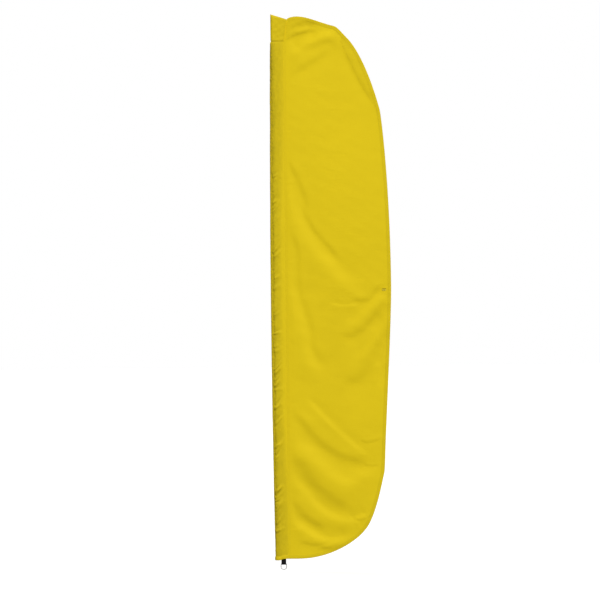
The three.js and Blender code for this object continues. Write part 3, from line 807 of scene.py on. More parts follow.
FOLDS = (
    Fold(
        Lie.LIT, Kind.SWAG,
        ((0.06, 1.96), (0.10, 1.77), (0.20, 1.57), (0.28, 1.48), (0.37, 1.39), (0.48, 1.34)),
    ),
    Fold(Lie.LIT, Kind.SWAG, ((0.06, 1.42), (0.10, 1.32), (0.16, 1.12), (0.18, 1.01), (0.23, 0.88))),
    Fold(Lie.LIT, Kind.PLEAT, ((0.55, 1.34), (0.50, 1.29), (0.42, 1.21), (0.36, 1.16))),
    Fold(Lie.LIT, Kind.PLEAT, ((0.56, 1.25), (0.53, 1.17), (0.47, 1.07), (0.40, 0.98))),
    Fold(Lie.LIT, Kind.CREASE, ((0.13, 0.83), (0.25, 0.70), (0.32, 0.63), (0.40, 0.56), (0.48, 0.50))),
    Fold(
        Lie.LIT, Kind.SWAG,
        ((0.06, 0.63), (0.12, 0.57), (0.21, 0.49), (0.29, 0.42), (0.36, 0.39), (0.43, 0.43), (0.53, 0.47)),
    ),
    Fold(Lie.LIT, Kind.PLEAT, ((0.06, 0.43), (0.14, 0.34), (0.23, 0.24), (0.35, 0.19), (0.44, 0.17))),
    Fold(Lie.LIT, Kind.PLEAT, ((0.06, 0.21), (0.12, 0.16), (0.22, 0.10), (0.31, 0.09), (0.39, 0.13))),
    Fold(Lie.LIT, Kind.CREASE, ((0.53, 0.98), (0.52, 0.91), (0.50, 0.86))),
    Fold(Lie.LIT, Kind.CRINKLE, ((0.17, 0.05), (0.23, 0.06), (0.28, 0.07))),
    Fold(Lie.LIT, Kind.CREASE, ((0.37, 0.18), (0.40, 0.20), (0.45, 0.22))),
    Fold(Lie.LIT, Kind.CRINKLE, ((0.27, 1.28), (0.35, 1.27), (0.43, 1.28))),
    Fold(Lie.LIT, Kind.PLEAT, ((0.07, 2.55), (0.14, 2.57), (0.20, 2.61), (0.27, 2.64), (0.34, 2.66))),
    Fold(Lie.SHADED, Kind.CREASE, ((0.05, 2.03), (0.10, 1.95), (0.15, 1.83), (0.17, 1.74))),
    Fold(Lie.SHADED, Kind.CREASE, ((0.13, 1.79), (0.20, 1.65), (0.28, 1.56), (0.34, 1.48))),
    Fold(Lie.SHADED, Kind.CREASE, ((0.08, 1.67), (0.12, 1.54), (0.12, 1.43), (0.13, 1.28))),
    Fold(Lie.SHADED, Kind.PLEAT, ((0.12, 1.36), (0.18, 1.16), (0.19, 1.06), (0.25, 0.96))),
    Fold(Lie.SHADED, Kind.CREASE, ((0.55, 1.39), (0.50, 1.34), (0.47, 1.30), (0.37, 1.30))),
    Fold(Lie.SHADED, Kind.PLEAT, ((0.56, 1.32), (0.49, 1.21), (0.42, 1.14), (0.32, 1.11))),
    Fold(Lie.SHADED, Kind.SWAG, ((0.55, 1.19), (0.54, 1.13), (0.50, 1.04), (0.44, 0.92), (0.32, 0.87))),
    Fold(
        Lie.SHADED, Kind.PLEAT,
        ((0.07, 0.77), (0.11, 0.71), (0.19, 0.61), (0.29, 0.53), (0.39, 0.49), (0.49, 0.47)),
    ),
    Fold(Lie.SHADED, Kind.SWAG, ((0.06, 0.54), (0.16, 0.42), (0.19, 0.37), (0.29, 0.29), (0.39, 0.23))),
    Fold(Lie.SHADED, Kind.PLEAT, ((0.06, 0.32), (0.08, 0.28), (0.15, 0.20), (0.26, 0.14))),
    Fold(Lie.SHADED, Kind.PLEAT, ((0.32, 2.62), (0.25, 2.60), (0.18, 2.58), (0.11, 2.56))),
    Fold(Lie.SHADED, Kind.PLEAT, ((0.31, 2.60), (0.27, 2.55), (0.21, 2.51), (0.15, 2.47), (0.09, 2.43))),
    Fold(Lie.SHADED, Kind.PLEAT, ((0.06, 2.59), (0.09, 2.63), (0.17, 2.65), (0.20, 2.68))),
    Fold(Lie.SHADED, Kind.CREASE, ((0.34, 2.60), (0.41, 2.45), (0.51, 2.28))),
    Fold(Lie.SHADED, Kind.CREASE, ((0.09, 0.09), (0.16, 0.07), (0.26, 0.05), (0.34, 0.07))),
    Fold(Lie.SHADED, Kind.PLEAT, ((0.06, 2.67), (0.11, 2.69), (0.17, 2.70), (0.24, 2.68))),
    Fold(Lie.SHADED, Kind.CRINKLE, ((0.06, 2.64), (0.09, 2.67), (0.13, 2.69), (0.18, 2.70))),
    Fold(Lie.SHADED, Kind.CRINKLE, ((0.07, 2.61), (0.12, 2.64), (0.17, 2.65), (0.23, 2.66))),
    Fold(Lie.LIT, Kind.CRINKLE, ((0.11, 2.65), (0.16, 2.67), (0.22, 2.68))),
    Fold(Lie.SHADED, Kind.CRINKLE, ((0.41, 0.60), (0.45, 0.58), (0.50, 0.59), (0.54, 0.61))),
    Fold(Lie.SHADED, Kind.CRINKLE, ((0.43, 0.47), (0.48, 0.46), (0.52, 0.47))),
    Fold(Lie.SHADED, Kind.CRINKLE, ((0.37, 0.20), (0.41, 0.19), (0.45, 0.20), (0.48, 0.22))),
)


@dataclass
class Drape:
    """The surface that all the flag's cloth follows: how far it stands to the front of its plane."""

    seam_x: float
    free_x: float
    folds: tuple[Fold, ...] = ()
    hold: float = 0.045  # width beside the seam over which the cloth comes free of it
    limit: float = 0.021

    def __post_init__(self) -> None:
        """Chooses the relief between the folds, and the short tugs along the seam."""
        self.billow = Ripple(SEED, 0.35, 1.1, 9)
        self.crumple = Ripple(SEED + 1, 0.035, 0.16, 26)
        self.pucker = Ripple(SEED + 2, 0.012, 0.030, 18)
        chance = np.random.default_rng(SEED + 3)
        self.tugs = [
            Pucker(
                z,
                chance.uniform(-0.012, 0.03),
                chance.uniform(0.035, 0.10),
                chance.uniform(0.005, 0.010),
                chance.uniform(0.0004, 0.0011),
            )
            for z in chance.uniform(0.06, 2.56, 46)
        ]

    def front(self, x: Array, z: Array) -> Array:
        """How far the cloth stands to the front at points of the panel."""
        x, z = np.asarray(x, float), np.asarray(z, float)
        free = np.clip((x - self.seam_x) / self.hold, 0, 1)
        free = free * free * (3 - 2 * free)
        across = np.clip((x - self.seam_x) / (self.free_x - self.seam_x), 0, 1)
        lift = 0.0030 * self.billow.at(x, z * 0.7) * np.sqrt(across)
        lift = lift + 0.00042 * self.crumple.at(x * 0.6, z)
        for fold in self.folds:
            lift = lift + fold.height(x, z)
        for tug in self.tugs:
            lift = lift + tug.lift(x, z, self.seam_x - 0.004)
        near_seam = np.exp(-np.abs(x - self.seam_x) / 0.016)
        lift = lift * free + 0.0004 * near_seam * self.pucker.at(x * 0.35, z)
        return self.limit * np.tanh(lift / self.limit)

    def place(self, flat: Array, lift: Array | float = 0.0) -> Array:
        """Points of the flat cut laid on the drape.

        Args:
            flat: points in XZ.
            lift: how far to the front of the panel's middle each one lies.

        Returns:
            The points in the row frame.
        """
        y = -(self.front(flat[:, 0], flat[:, 1]) + lift)
        return np.stack([flat[:, 0], y, flat[:, 1]], 1)


def thick_cloth(
    name: str,
    points: Array,
    faces: list[list[int]],
    rim: Sequence[int],
    thickness: float,
    material: bpy.types.Material,
    cut: Array,
) -> bpy.types.Object:
    """A cloth with two faces and a closed rim, from its front surface.

    Args:
        name: the piece's name.
        points: the surface's points.
        faces: its faces, which are turned to face the front.
        rim: the vertices round its edge, in order.
        thickness: the cloth's thickness.
        material: its finish.
        cut: the points' places on the flat cut.

    Returns:
        The object.
    """
    triangles = np.array(faces)
    a, b, c = (points[triangles[:, k]] for k in range(3))
    normal = np.cross(b - a, c - a)
    if normal[:, 1].sum() > 0:
        triangles = triangles[:, ::-1]
        normal = -normal
    at_points = np.zeros_like(points)
    for k in range(3):
        np.add.at(at_points, triangles[:, k], normal)
    at_points /= np.maximum(np.linalg.norm(at_points, axis=1, keepdims=True), 1e-12)
    count = len(points)
    both = np.vstack([points, points - at_points * thickness])
    rim = list(rim)
    edge = {(int(t[i]), int(t[(i + 1) % 3])) for t in triangles for i in range(3)}
    walls = []
    for p, q in zip(rim, rim[1:] + rim[:1]):
        if (p, q) in edge:
            walls.append([q, p, p + count, q + count])
        elif (q, p) in edge:
            walls.append([p, q, q + count, p + count])
    every = triangles.tolist() + (triangles[:, ::-1] + count).tolist() + walls
    return make_piece(name, both, every, material, np.vstack([cut, cut]))


def swept_band(
    name: str,
    loops: Array,
    cuts: Array,
    material: bpy.types.Material,
    closed: bool = False,
) -> bpy.types.Object:
    """A closed solid through a row of loops.

    Args:
        name: the piece's name.
        loops: an array of loops of points, stations by points by 3.
        cuts: the same points on the flat cut, stations by points by 2.
        material: the finish.
        closed: whether the last loop joins the first.

    Returns:
        The object, with its faces turned outwards.
    """
    stations, count = loops.shape[:2]
    faces = []
    for i in range(stations if closed else stations - 1):
        here, ahead = i * count, (i + 1) % stations * count
        for k in range(count):
            m = (k + 1) % count
            faces.append([here + k, here + m, ahead + m, ahead + k])
    if not closed:
        faces.append(list(range(count))[::-1])
        faces.append([(stations - 1) * count + k for k in range(count)])
    piece = make_piece(name, loops.reshape(-1, 3), faces, material, cuts.reshape(-1, 2))
    turn_out(piece)
    return piece


def turn_out(piece: bpy.types.Object) -> None:
    """Turns a closed mesh's faces outwards, all together."""
    work = bmesh.new()
    work.from_mesh(piece.data)
    bmesh.ops.recalc_face_normals(work, faces=work.faces)
    if work.calc_volume(signed=True) < 0:
        bmesh.ops.reverse_faces(work, faces=work.faces)
    work.to_mesh(piece.data)
    work.free()


# ---------------------------------------------------------------- stitches


class Stitching:
    """Rows of stitches, laid by one Geometry Nodes tree along lines of the cloth."""

    def __init__(self) -> None:
        """Builds the tree and the stitch."""
        self.tree = self._tree()

    def _stitch_mesh(self, length: float, radius: float) -> bpy.types.Mesh:
        """One stitch: a low bead with pointed ends, along Z."""
        rings = [(-0.5, 0.30), (-0.32, 0.9), (0.0, 1.0), (0.32, 0.9), (0.5, 0.30)]
        sides = 5
        points, faces = [], []
        for share, fat in rings:
            out = radius * fat
            for k in range(sides):
                angle = 2 * math.pi * k / sides
                points.append((out * math.cos(angle), out * math.sin(angle), share * length))
        for here in range(0, (len(rings) - 1) * sides, sides):
            ahead = here + sides
            for k in range(sides):
                m = (k + 1) % sides
                faces.append((here + k, here + m, ahead + m, ahead + k))
        faces.append(tuple(range(sides))[::-1])
        faces.append(tuple(range(len(points) - sides, len(points))))
        mesh = bpy.data.meshes.new("stitch")
        mesh.from_pydata(points, [], faces)
        mesh.shade_smooth()
        return mesh

    def _tree(self) -> bpy.types.GeometryNodeTree:
        """A tree that resamples lines and sets a stitch at each step, along the line."""
        tree = bpy.data.node_groups.new("stitch rows", "GeometryNodeTree")
        face = tree.interface
        kinds = (
            ("Geometry", "Geometry"),
            ("Pitch", "Float"),
            ("Stitch", "Object"),
            ("Thread", "Material"),
            ("Seed", "Int"),
        )
        for name, kind in kinds:
            face.new_socket(name, in_out="INPUT", socket_type="NodeSocket" + kind)
        face.new_socket("Geometry", in_out="OUTPUT", socket_type="NodeSocketGeometry")
        add, link = tree.nodes.new, tree.links.new
        source, out = add("NodeGroupInput"), add("NodeGroupOutput")
        curve, spaced = add("GeometryNodeMeshToCurve"), add("GeometryNodeResampleCurve")
        spaced.mode = "LENGTH"
        points, tangent = add("GeometryNodeInstanceOnPoints"), add("GeometryNodeInputTangent")
        align, info = add("FunctionNodeAlignEulerToVector"), add("GeometryNodeObjectInfo")
        align.axis = "Z"
        chance = add("FunctionNodeRandomValue")
        chance.data_type = "FLOAT"
        chance.inputs[2].default_value, chance.inputs[3].default_value = 0.88, 1.08
        real, finish = add("GeometryNodeRealizeInstances"), add("GeometryNodeSetMaterial")
        for start, outlet, end, inlet in (
            (source, "Geometry", curve, "Mesh"),
            (curve, "Curve", spaced, "Curve"),
            (source, "Pitch", spaced, "Length"),
            (spaced, "Curve", points, "Points"),
            (source, "Stitch", info, "Object"),
            (info, "Geometry", points, "Instance"),
            (tangent, "Tangent", align, "Vector"),
            (align, "Rotation", points, "Rotation"),
            (source, "Seed", chance, "Seed"),
            (chance, 1, points, "Scale"),
            (points, "Instances", real, "Geometry"),
            (real, "Geometry", finish, "Geometry"),
            (source, "Thread", finish, "Material"),
            (finish, "Geometry", out, "Geometry"),
        ):
            link(start.outputs[outlet], end.inputs[inlet])
        return tree

    def rows(
        self,
        name: str,
        lines: Sequence[Array],
        thread: bpy.types.Material,
        pitch: float = 0.0040,
        length: float = 0.0031,
        radius: float = 0.00022,
    ) -> bpy.types.Object:
        """Stitches along lines.

        Args:
            name: the piece's name.
            lines: rows of points in the row frame.
            thread: the thread's finish.
            pitch: the distance from stitch to stitch.
            length: a stitch's length.
            radius: half a stitch's width.

        Returns:
            The stitches as one plain mesh.
        """
        carrier_mesh = bpy.data.meshes.new(name + " lines")
        points, edges = [], []
        for line in lines:
            start = len(points)
            points += [tuple(p) for p in line]
            edges += [(start + i, start + i + 1) for i in range(len(line) - 1)]
        carrier_mesh.from_pydata(points, edges, [])
        carrier = bpy.data.objects.new(name + " lines", carrier_mesh)
        single = bpy.data.objects.new(name + " stitch", self._stitch_mesh(length, radius))
        for extra in (carrier, single):
            bpy.context.scene.collection.objects.link(extra)
        modifier = carrier.modifiers.new("rows", "NODES")
        modifier.node_group = self.tree
        ids = {s.name: s.identifier for s in self.tree.interface.items_tree if s.in_out == "INPUT"}
        modifier[ids["Pitch"]] = pitch
        modifier[ids["Stitch"]] = single
        modifier[ids["Thread"]] = thread
        modifier[ids["Seed"]] = SEED
        graph = bpy.context.evaluated_depsgraph_get()
        mesh = bpy.data.meshes.new_from_object(carrier.evaluated_get(graph))
        mesh.name = name
        for extra in (carrier, single):
            bpy.data.objects.remove(extra)
        piece = bpy.data.objects.new(name, mesh)
        bpy.context.scene.collection.objects.link(piece)
        return piece


# ---------------------------------------------------------------- flag panel and its edges


def finish_piece(piece: bpy.types.Object, body: str, slot: Slot, *nodes: str) -> bpy.types.Object:
    """Sets a piece on its body, in place of its CAD nodes.

    Args:
        piece: the finished piece.
        body: the body that it rides on.
        slot: the record's material slot; not used.
        *nodes: the CAD nodes that it stands for.

    Returns:
        The piece.
    """
    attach(piece, body)
    if nodes:
        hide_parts(*nodes)
    LOG.info("%s: %d faces on %s", piece.name, len(piece.data.polygons), body)
    return piece


@dataclass
class Panel:
    """The flag's sheet with its hems, facings, bindings and tack."""

    drape: Drape
    wardrobe: Wardrobe
    stitching: Stitching
    step: float = 0.0059
    cloth: float = 0.0004
    hem_width: float = 0.018
    hem_lift: float = 0.00050
    hem_cloth: float = 0.00025
    hem_wrinkle: float = 0.00022
    hem_row: float = 0.0025  # from the hem's inner edge to its row of stitches
    sunk: float = 0.00008  # how deep a stitch sits in the cloth
    facing_gap: float = 0.00025
    facing_step: float = 0.007
    facing_row: float = 0.004
    binding_near: float = 0.00030
    binding_far: float = 0.00062
    binding_row: float = 0.0022
    edge_step: float = 0.006
    tack_threads: int = 15
    pieces: list[bpy.types.Object] = field(default_factory=list)

    def build(self) -> bpy.types.Object:
        """Makes the panel and everything sewn on it.

        Returns:
            The panel.
        """
        outline = Outline("flag_panel")
        loop = outline.fine(self.step)
        flat, faces = fill_outline(loop, self.step)
        rim = self._rim(flat, loop)
        points = self.drape.place(flat, self.cloth / 2)
        sheet = thick_cloth("flag_panel_cloth", points, faces, rim, self.cloth, self.wardrobe.panel, flat)
        finish_piece(sheet, "flag", Slot.FLAG, "flag_panel")
        self._hems(outline)
        self._facings()
        self._bindings()
        self._tack()
        low, high = loop.min(0), loop.max(0)
        float(high[0] - low[0])
        float(high[1] - low[1])
        return sheet

    def _rim(self, flat: Array, loop: Array) -> list[int]:
        """The numbers of the mesh's points that lie along the outline."""
        return [int(np.argmin(((flat - p) ** 2).sum(1))) for p in loop]

    def _edge_line(self, outline: Outline) -> Array:
        """The flag's finished edge from the pocket round to the sleeve, at an even step."""
        low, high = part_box("flag_panel")
        loop = outline.fine(self.edge_step)
        outset = float(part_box("fly_hem")[1].x - high.x)
        top = int(np.argmax(np.where(loop[:, 0] < low.x + 1e-4, loop[:, 1], -1)))
        rolled = np.roll(loop, -top, 0)
        foot = int(np.argmin(np.where(rolled[:, 0] < low.x + 1e-4, rolled[:, 1], 9)))
        return moved_right(rolled[: foot + 1], -outset)

    def _stretch(self, edge: Array, first: Array, last: Array) -> Array:
        """The part of the edge between the points nearest to two given ones.

        Args:
            edge: the finished edge.
            first: where the part starts.
            last: where it ends.

        Returns:
            The part, with both ends.
        """
        start, end = (int(np.argmin(((edge - p) ** 2).sum(1))) for p in (first, last))
        return edge[start : end + 1]

    def _hems(self, outline: Outline) -> None:
        """The folded hems round the free edges, with a row of stitches on each face."""
        edge = self._edge_line(outline)
        head_low, fly_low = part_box("head_hem")[0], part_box("fly_hem")[0]
        right = edge[:, 0] > fly_low.x
        shoulder = edge[int(np.argmax(edge[:, 1] < head_low.z + 0.004))]
        heel = edge[len(edge) - 1 - int(np.argmax(right[::-1]))]
        head = self._stretch(edge, edge[int(np.argmax(edge[:, 0] > head_low.x))], shoulder)
        fly = self._stretch(edge, shoulder, heel)
        foot = self._stretch(edge, heel, edge[-1])
        rows_front, rows_back = [], []
        for node, line in (("head_hem", head), ("fly_hem", fly), ("foot_hem", foot)):
            self.pieces.append(self._hem(node, line))
            for side, rows in ((Side.FRONT, rows_front), (Side.BACK, rows_back)):
                inner = moved_right(line, self.hem_width - self.hem_row)[1:-1]
                lift = side.value * (self.hem_lift + self.hem_cloth - self.sunk)
                rows.append(self.drape.place(inner, lift))
        stitches = self.stitching.rows("hem_stitches", rows_front + rows_back, self.wardrobe.thread)
        self.pieces.append(finish_piece(stitches, "flag", Slot.HEM))

    def _hem(self, node: str, line: Array) -> bpy.types.Object:
        """One stretch of the hem: the cloth turned over the panel's edge.

        Args:
            node: the CAD node that it stands for.
            line: its stretch of the finished edge.

        Returns:
            The hem.
        """
        inner, outer = self.hem_lift - self.hem_cloth, self.hem_lift + self.hem_cloth
        width = self.hem_width
        over = [
            (width, inner * 1.5), (width * 0.86, outer), (width * 0.4, outer),
            (width * 0.14, outer * 1.05), (0.0012, outer), (0.0002, outer * 0.55),
        ]
        under = [(width, inner), (width * 0.5, inner), (0.0016, inner)]
        behind = [(inset, -lift) for inset, lift in over[::-1] + under]
        profile = over + [(0.0, 0.0)] + behind + under[::-1]
        along = run_along(line)
        ripple = Ripple(SEED + 7, 0.009, 0.028, 12)
        loops, cuts = [], []
        for inset, lift in profile:
            flat = moved_right(line, inset)
            wrinkle = 0.0
            if abs(lift) > inner * 1.01:
                wave = ripple.at(along, np.full_like(along, inset * 0.6))
                wrinkle = np.abs(self.hem_wrinkle * wave * math.sin(math.pi * inset / width))
            loops.append(self.drape.place(flat, lift + math.copysign(1, lift) * wrinkle))
            cuts.append(np.stack([np.full_like(along, inset), along], 1))
        piece = swept_band(
            node + "_cloth", np.stack(loops, 1), np.stack(cuts, 1), self.wardrobe.hem
        )
        return finish_piece(piece, "flag", Slot.HEM, node)

    def _facings(self) -> None:
        """The doubled pieces under the top edge and inside the upper free edge."""
        rows = []
        for node in ("head_facing", "fly_facing"):
            outline = Outline(node)
            loop = outline.fine(self.edge_step)
            flat, faces = fill_outline(loop, self.facing_step)
            lift = self.facing_gap + self.cloth
            points = self.drape.place(flat, lift)
            rim = self._rim(flat, loop)
            piece = thick_cloth(node + "_cloth", points, faces, rim, self.cloth, self.wardrobe.facing, flat)
            self.pieces.append(finish_piece(piece, "flag", Slot.FLAG, node))
            row = moved_right(loop, self.facing_row, closed=True)
            rows.append(self.drape.place(np.vstack([row, row[:1]]), lift))
        stitches = self.stitching.rows("facing_stitches", rows, self.wardrobe.thread)
        self.pieces.append(finish_piece(stitches, "flag", Slot.HEM))

    def _bindings(self) -> None:
        """The flat bindings over the sleeve's seam, front and back, each sewn down twice."""
        rows = []
        for node, side in (("seam_binding_front", Side.FRONT), ("seam_binding_back", Side.BACK)):
            low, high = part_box(node)
            z = np.arange(low.z, high.z, self.edge_step)
            z = np.append(z[:-1], high.z)
            across = [0.0, 0.2, 0.5, 0.8, 1.0]
            loops, cuts = [], []
            ripple = Ripple(SEED + 9, 0.012, 0.03, 14)
            start = low.x - 0.0022
            for share, raised in [(s, True) for s in across] + [(s, False) for s in across[::-1]]:
                x = np.full_like(z, start + (high.x - start) * share)
                lift = self.binding_near
                if raised:
                    swell = 0.00012 * (1 + ripple.at(x * 0.3, z)) * math.sin(math.pi * share)
                    lift = self.binding_far + swell
                cuts.append(np.stack([x, z], 1))
                loops.append(self.drape.place(cuts[-1], side.value * lift))
            piece = swept_band(node + "_cloth", np.stack(loops, 1), np.stack(cuts, 1), self.wardrobe.binding)
            self.pieces.append(finish_piece(piece, "flag", Slot.HEM, node))
            for inset in (self.binding_row, high.x - low.x - self.binding_row):
                line = np.stack([np.full_like(z, low.x + inset), z], 1)[1:-1]
                rows.append(self.drape.place(line, side.value * (self.binding_far + 0.00002)))
        stitches = self.stitching.rows("binding_stitches", rows, self.wardrobe.thread)
        self.pieces.append(finish_piece(stitches, "flag", Slot.HEM))

    def _tack(self) -> None:
        """The bar tack: a dark bar of close satin stitches over a pale one. The dark bar is painted shadow, where
        a small fold above the pale bar lies in shade.
        """
        low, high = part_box("fly_bar_tack")
        middle = (low.z + high.z) / 2
        for name, bottom, top, thread in (
            # the dark bar: real tack stitches whose dark colour is painted shadow of a small fold
            ("bar_tack_dark", middle + 0.0006, high.z, self.wardrobe.fold_shadow_thread),
            ("bar_tack_pale", low.z, middle - 0.0006, self.wardrobe.pale_thread),
        ):
            rows = []
            for i in range(self.tack_threads * 2):
                x = low.x + (high.x - low.x) * (i + 0.5) / (self.tack_threads * 2)
                ends = np.array([[x - 0.0004, bottom], [x, (bottom + top) / 2], [x + 0.0004, top]])
                rows.append(self.drape.place(ends, 0.0010 + np.array([0.0, 0.0006, 0.0])))
            piece = self.stitching.rows(name, rows, thread, pitch=0.0022, length=0.0030, radius=0.0005)
            nodes = ("fly_bar_tack",) if name == "bar_tack_dark" else ()
            self.pieces.append(finish_piece(piece, "flag", Slot.HEM, *nodes))


# ---------------------------------------------------------------- sleeve, pocket and mouth


@dataclass
class Sleeve:
    """The strip of cloth folded round the pole, its tip pocket and the hem of its mouth."""

    drape: Drape
    wardrobe: Wardrobe
    stitching: Stitching
    radius: float = 0.0134
    tip_radius: float = 0.0093
    inner: float = 0.0126
    tip_inner: float = 0.0085
    seam_half: float = 0.0009
    bow: float = 0.0095
    crease_x: float = -0.011
    pocket_radius: float = 0.0106
    pocket_wall: float = 0.0009
    head_slope: float = 0.318
    mouth_rise: float = 0.007
    around: int = 76
    step: float = 0.0031
    rows_z: tuple[float, ...] = (
        1.90, 1.78, 1.74, 1.69, 1.67, 1.52, 1.41, 1.35, 1.22, 1.13, 1.06, 1.04, 0.93, 0.90, 0.85,
        0.74, 0.71, 0.69, 0.67, 0.55, 0.53, 0.50, 0.34, 0.32, 0.29, 0.27, 0.24, 0.15, 0.12,
    )

    def __post_init__(self) -> None:
        """Reads the sleeve's extent from the frame, and places the puckers."""
        low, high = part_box("pole_sleeve")
        self.seam_x = high.x
        self.mouth_z = low.z
        self.head_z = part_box("tip_pocket")[1].z + self.head_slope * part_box("tip_pocket")[0].x
        self.pocket_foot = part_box("tip_pocket")[0].z
        self.mouth_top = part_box("sleeve_mouth_hem")[1].z
        chance = np.random.default_rng(SEED + 20)
        self.puckers: dict[Side, list[Pucker]] = {Side.FRONT: [], Side.BACK: []}
        for side in Side:
            for z in self.rows_z:
                spots = [z + chance.normal(0, 0.005)]
                if chance.random() < 0.75:
                    spots.append(z + chance.uniform(0.010, 0.028))
                for spot in spots:
                    self.puckers[side].append(
                        Pucker(
                            spot,
                            chance.uniform(0.010, 0.060),
                            chance.uniform(0.026, 0.056),
                            chance.uniform(0.0065, 0.0130),
                            chance.uniform(0.0022, 0.0044) * (1.1 if z < 1.0 else 0.85),
                        )
                    )
        self.ripple = Ripple(SEED + 21, 0.020, 0.075, 22)
        self.slack = Ripple(SEED + 22, 0.10, 0.45, 10)
        self.mouth_ripple = Ripple(SEED + 31, 0.010, 0.03, 10)

    def bow_at(self, z: float) -> float:
        """How far the left side stands off the pole at a height."""
        share = min(max(z / self.pocket_foot, 0.0), 1.0)
        return self.bow * math.sin(math.pi * share)

    def section(self, radius: float, bow: float, seam_half: float, tail_x: Optional[float] = None) -> Array:
        """A section seen from above: round about the pole and tapering to the seam.

        Args:
            radius: the radius round the pole.
            bow: how far its left side stands off.
            seam_half: half its thickness at the seam.
            tail_x: where a flat tail past the seam ends.

        Returns:
            Points (x, y), anticlockwise from the seam's back edge.
        """
        seam_x = self.seam_x
        angle = math.atan2(seam_half, seam_x) + math.acos(radius / math.hypot(seam_x, seam_half))
        touch = np.array([radius * math.cos(angle), radius * math.sin(angle)])
        straight, arc = self.around // 4, self.around - 2 * (self.around // 4)
        t = np.linspace(0, 1, straight, endpoint=False)[:, None]
        upper = np.array([seam_x, seam_half]) * (1 - t) + touch * t
        if tail_x is not None:
            tail = np.array([[tail_x, seam_half], [(tail_x + seam_x) / 2, seam_half]])
            upper = np.vstack([tail, upper])
        turn = angle + 2 * (math.pi - angle) * np.linspace(0, 1, arc)
        x, y = radius * np.cos(turn), radius * np.sin(turn)
        x = np.where(x < 0, x * (radius + bow) / radius, x)
        lower = upper[::-1] * [1, -1]
        return np.vstack([upper, np.stack([x, y], 1), lower])

    def head_line(self, x: Array, below: float = 0.0) -> Array:
        """Height of the top edge, or of a line below it."""
        return self.head_z - self.head_slope * x - below

    def mouth_line(self, x: Array) -> Array:
        """Height of the sleeve's mouth."""
        t = np.clip((x - 0.008) / 0.021, 0, 1)
        return self.mouth_z + self.mouth_rise * t * t * (3 - 2 * t)

    def relief(self, x: Array, y: Array, z: Array) -> Array:
        """How far the outer cloth stands off its smooth form: crease, puckers and slack."""
        free = np.clip((self.seam_x - x) / 0.012, 0, 1)
        body = np.clip((z - 0.01) / 0.05, 0, 1) * np.clip((self.pocket_foot - 0.006 - z) / 0.05, 0, 1)
        total = 0.0012 + 0.00045 * self.ripple.at(x * 1.3, z) + 0.0006 * self.slack.at(x * 0.5, z)
        for side in Side:
            facing = np.clip(-side.value * y / 0.004 + 0.5, 0, 1)
            lift = np.zeros(x.shape)
            for pucker in self.puckers[side]:
                lift += pucker.lift(x, z, self.crease_x)
            crease = self.crease_x + 0.0028 * self.slack.at(np.zeros_like(x), z * 2.0)
            bite = 0.6 + 0.7 * self.ripple.at(np.zeros_like(x), z * 1.3)
            groove = -0.0020 * np.clip(bite, 0, 1.8) * np.exp(-(((x - crease) / 0.0036) ** 2))
            lump = 0.0012 * np.exp(-(((x - crease - 0.006) / 0.0036) ** 2)) * (1 + self.ripple.at(x, z * 1.7))
            total = total + facing * (lift + groove + lump)
        held = np.clip((x + 0.024) / 0.012, 0, 1)
        return np.maximum(total, -0.0002) * free * body * (0.15 + 0.85 * held)

    def build(self) -> bpy.types.Object:
        """Makes the sleeve, the pocket and the mouth's hem.

        Returns:
            The sleeve.
        """
        sleeve = self._sleeve()
        pocket = self._pocket()
        hem = self._mouth_hem()
        stitches = self._stitches()
        return sleeve

    def _sleeve(self) -> bpy.types.Object:
        """The sleeve: an outer and an inner wall, joined round the mouth and closed at the top."""
        shoulder = self.pocket_foot - 0.0123
        stations = list(np.arange(0.012, shoulder, self.step)) + [shoulder, self.pocket_foot - 0.003]
        loops = []
        section = self.section(self.radius, 0.0, self.seam_half)
        loops.append(np.c_[section, self.mouth_line(section[:, 0])])
        for z in stations:
            if z <= shoulder:
                section = self.section(self.radius, self.bow_at(z), self.seam_half)
                height = np.full(len(section), z)
                if z < 0.03:
                    height = height + (self.mouth_line(section[:, 0]) - self.mouth_z) * (0.03 - z) / 0.03
            else:
                section = self.section(self.tip_radius, 0.0, self.seam_half)
                height = np.full(len(section), z)
            relief = self.relief(section[:, 0], section[:, 1], height)
            loops.append(np.c_[moved_right(section, relief[:, None], closed=True), height])
        tip = self.section(self.tip_radius - 0.0002, 0.0, self.seam_half)
        top = self.head_line(tip[:, 0], 0.0040)
        loops.append(np.c_[tip, top - 0.020])
        for share, pinch in ((0.5, 0.93), (0.8, 0.72), (0.95, 0.45), (1.0, 0.16)):
            loops.append(np.c_[tip[:, 0], tip[:, 1] * pinch, top - 0.020 * (1 - share)])

        def lining(radius: float, bow: float) -> Array:
            """A section of the inner wall, which ends short of the seam."""
            section = self.section(radius, bow, 0.0003)
            section[:, 0] = np.minimum(section[:, 0], self.seam_x - 0.004)
            return section

        first, last = lining(self.inner, 0.0), lining(self.tip_inner, 0.0)
        inner_loops = [np.c_[first, self.mouth_line(first[:, 0])]]
        for z in (0.2, 0.6, 1.0, 1.4, 1.8, 2.2, shoulder - 0.002):
            middle = lining(self.inner, self.bow_at(z) - 0.0002)
            inner_loops.append(np.c_[middle, np.full(len(middle), z)])
        inner_loops.append(np.c_[last, np.full(len(last), self.pocket_foot)])
        inner_loops.append(np.c_[last, self.head_line(last[:, 0], 0.026)])
        inner_loops.append(np.c_[last[:, 0], last[:, 1] * 0.10, self.head_line(last[:, 0], 0.0095)])
        every = np.stack(inner_loops[::-1] + loops)
        cuts = self._cuts(every)
        piece = self._shell("pole_sleeve_cloth", every, cuts, self.wardrobe.sleeve)
        return finish_piece(piece, "flag", Slot.FLAG, "pole_sleeve")

    def _cuts(self, loops: Array) -> Array:
        """Each loop's points on the flat cut: the way round it, and the height."""
        run = np.linalg.norm(np.diff(loops[:, :, :2], axis=1), axis=2)
        way = np.concatenate([np.zeros((len(loops), 1)), np.cumsum(run, axis=1)], axis=1)
        return np.stack([way, loops[:, :, 2]], 2)

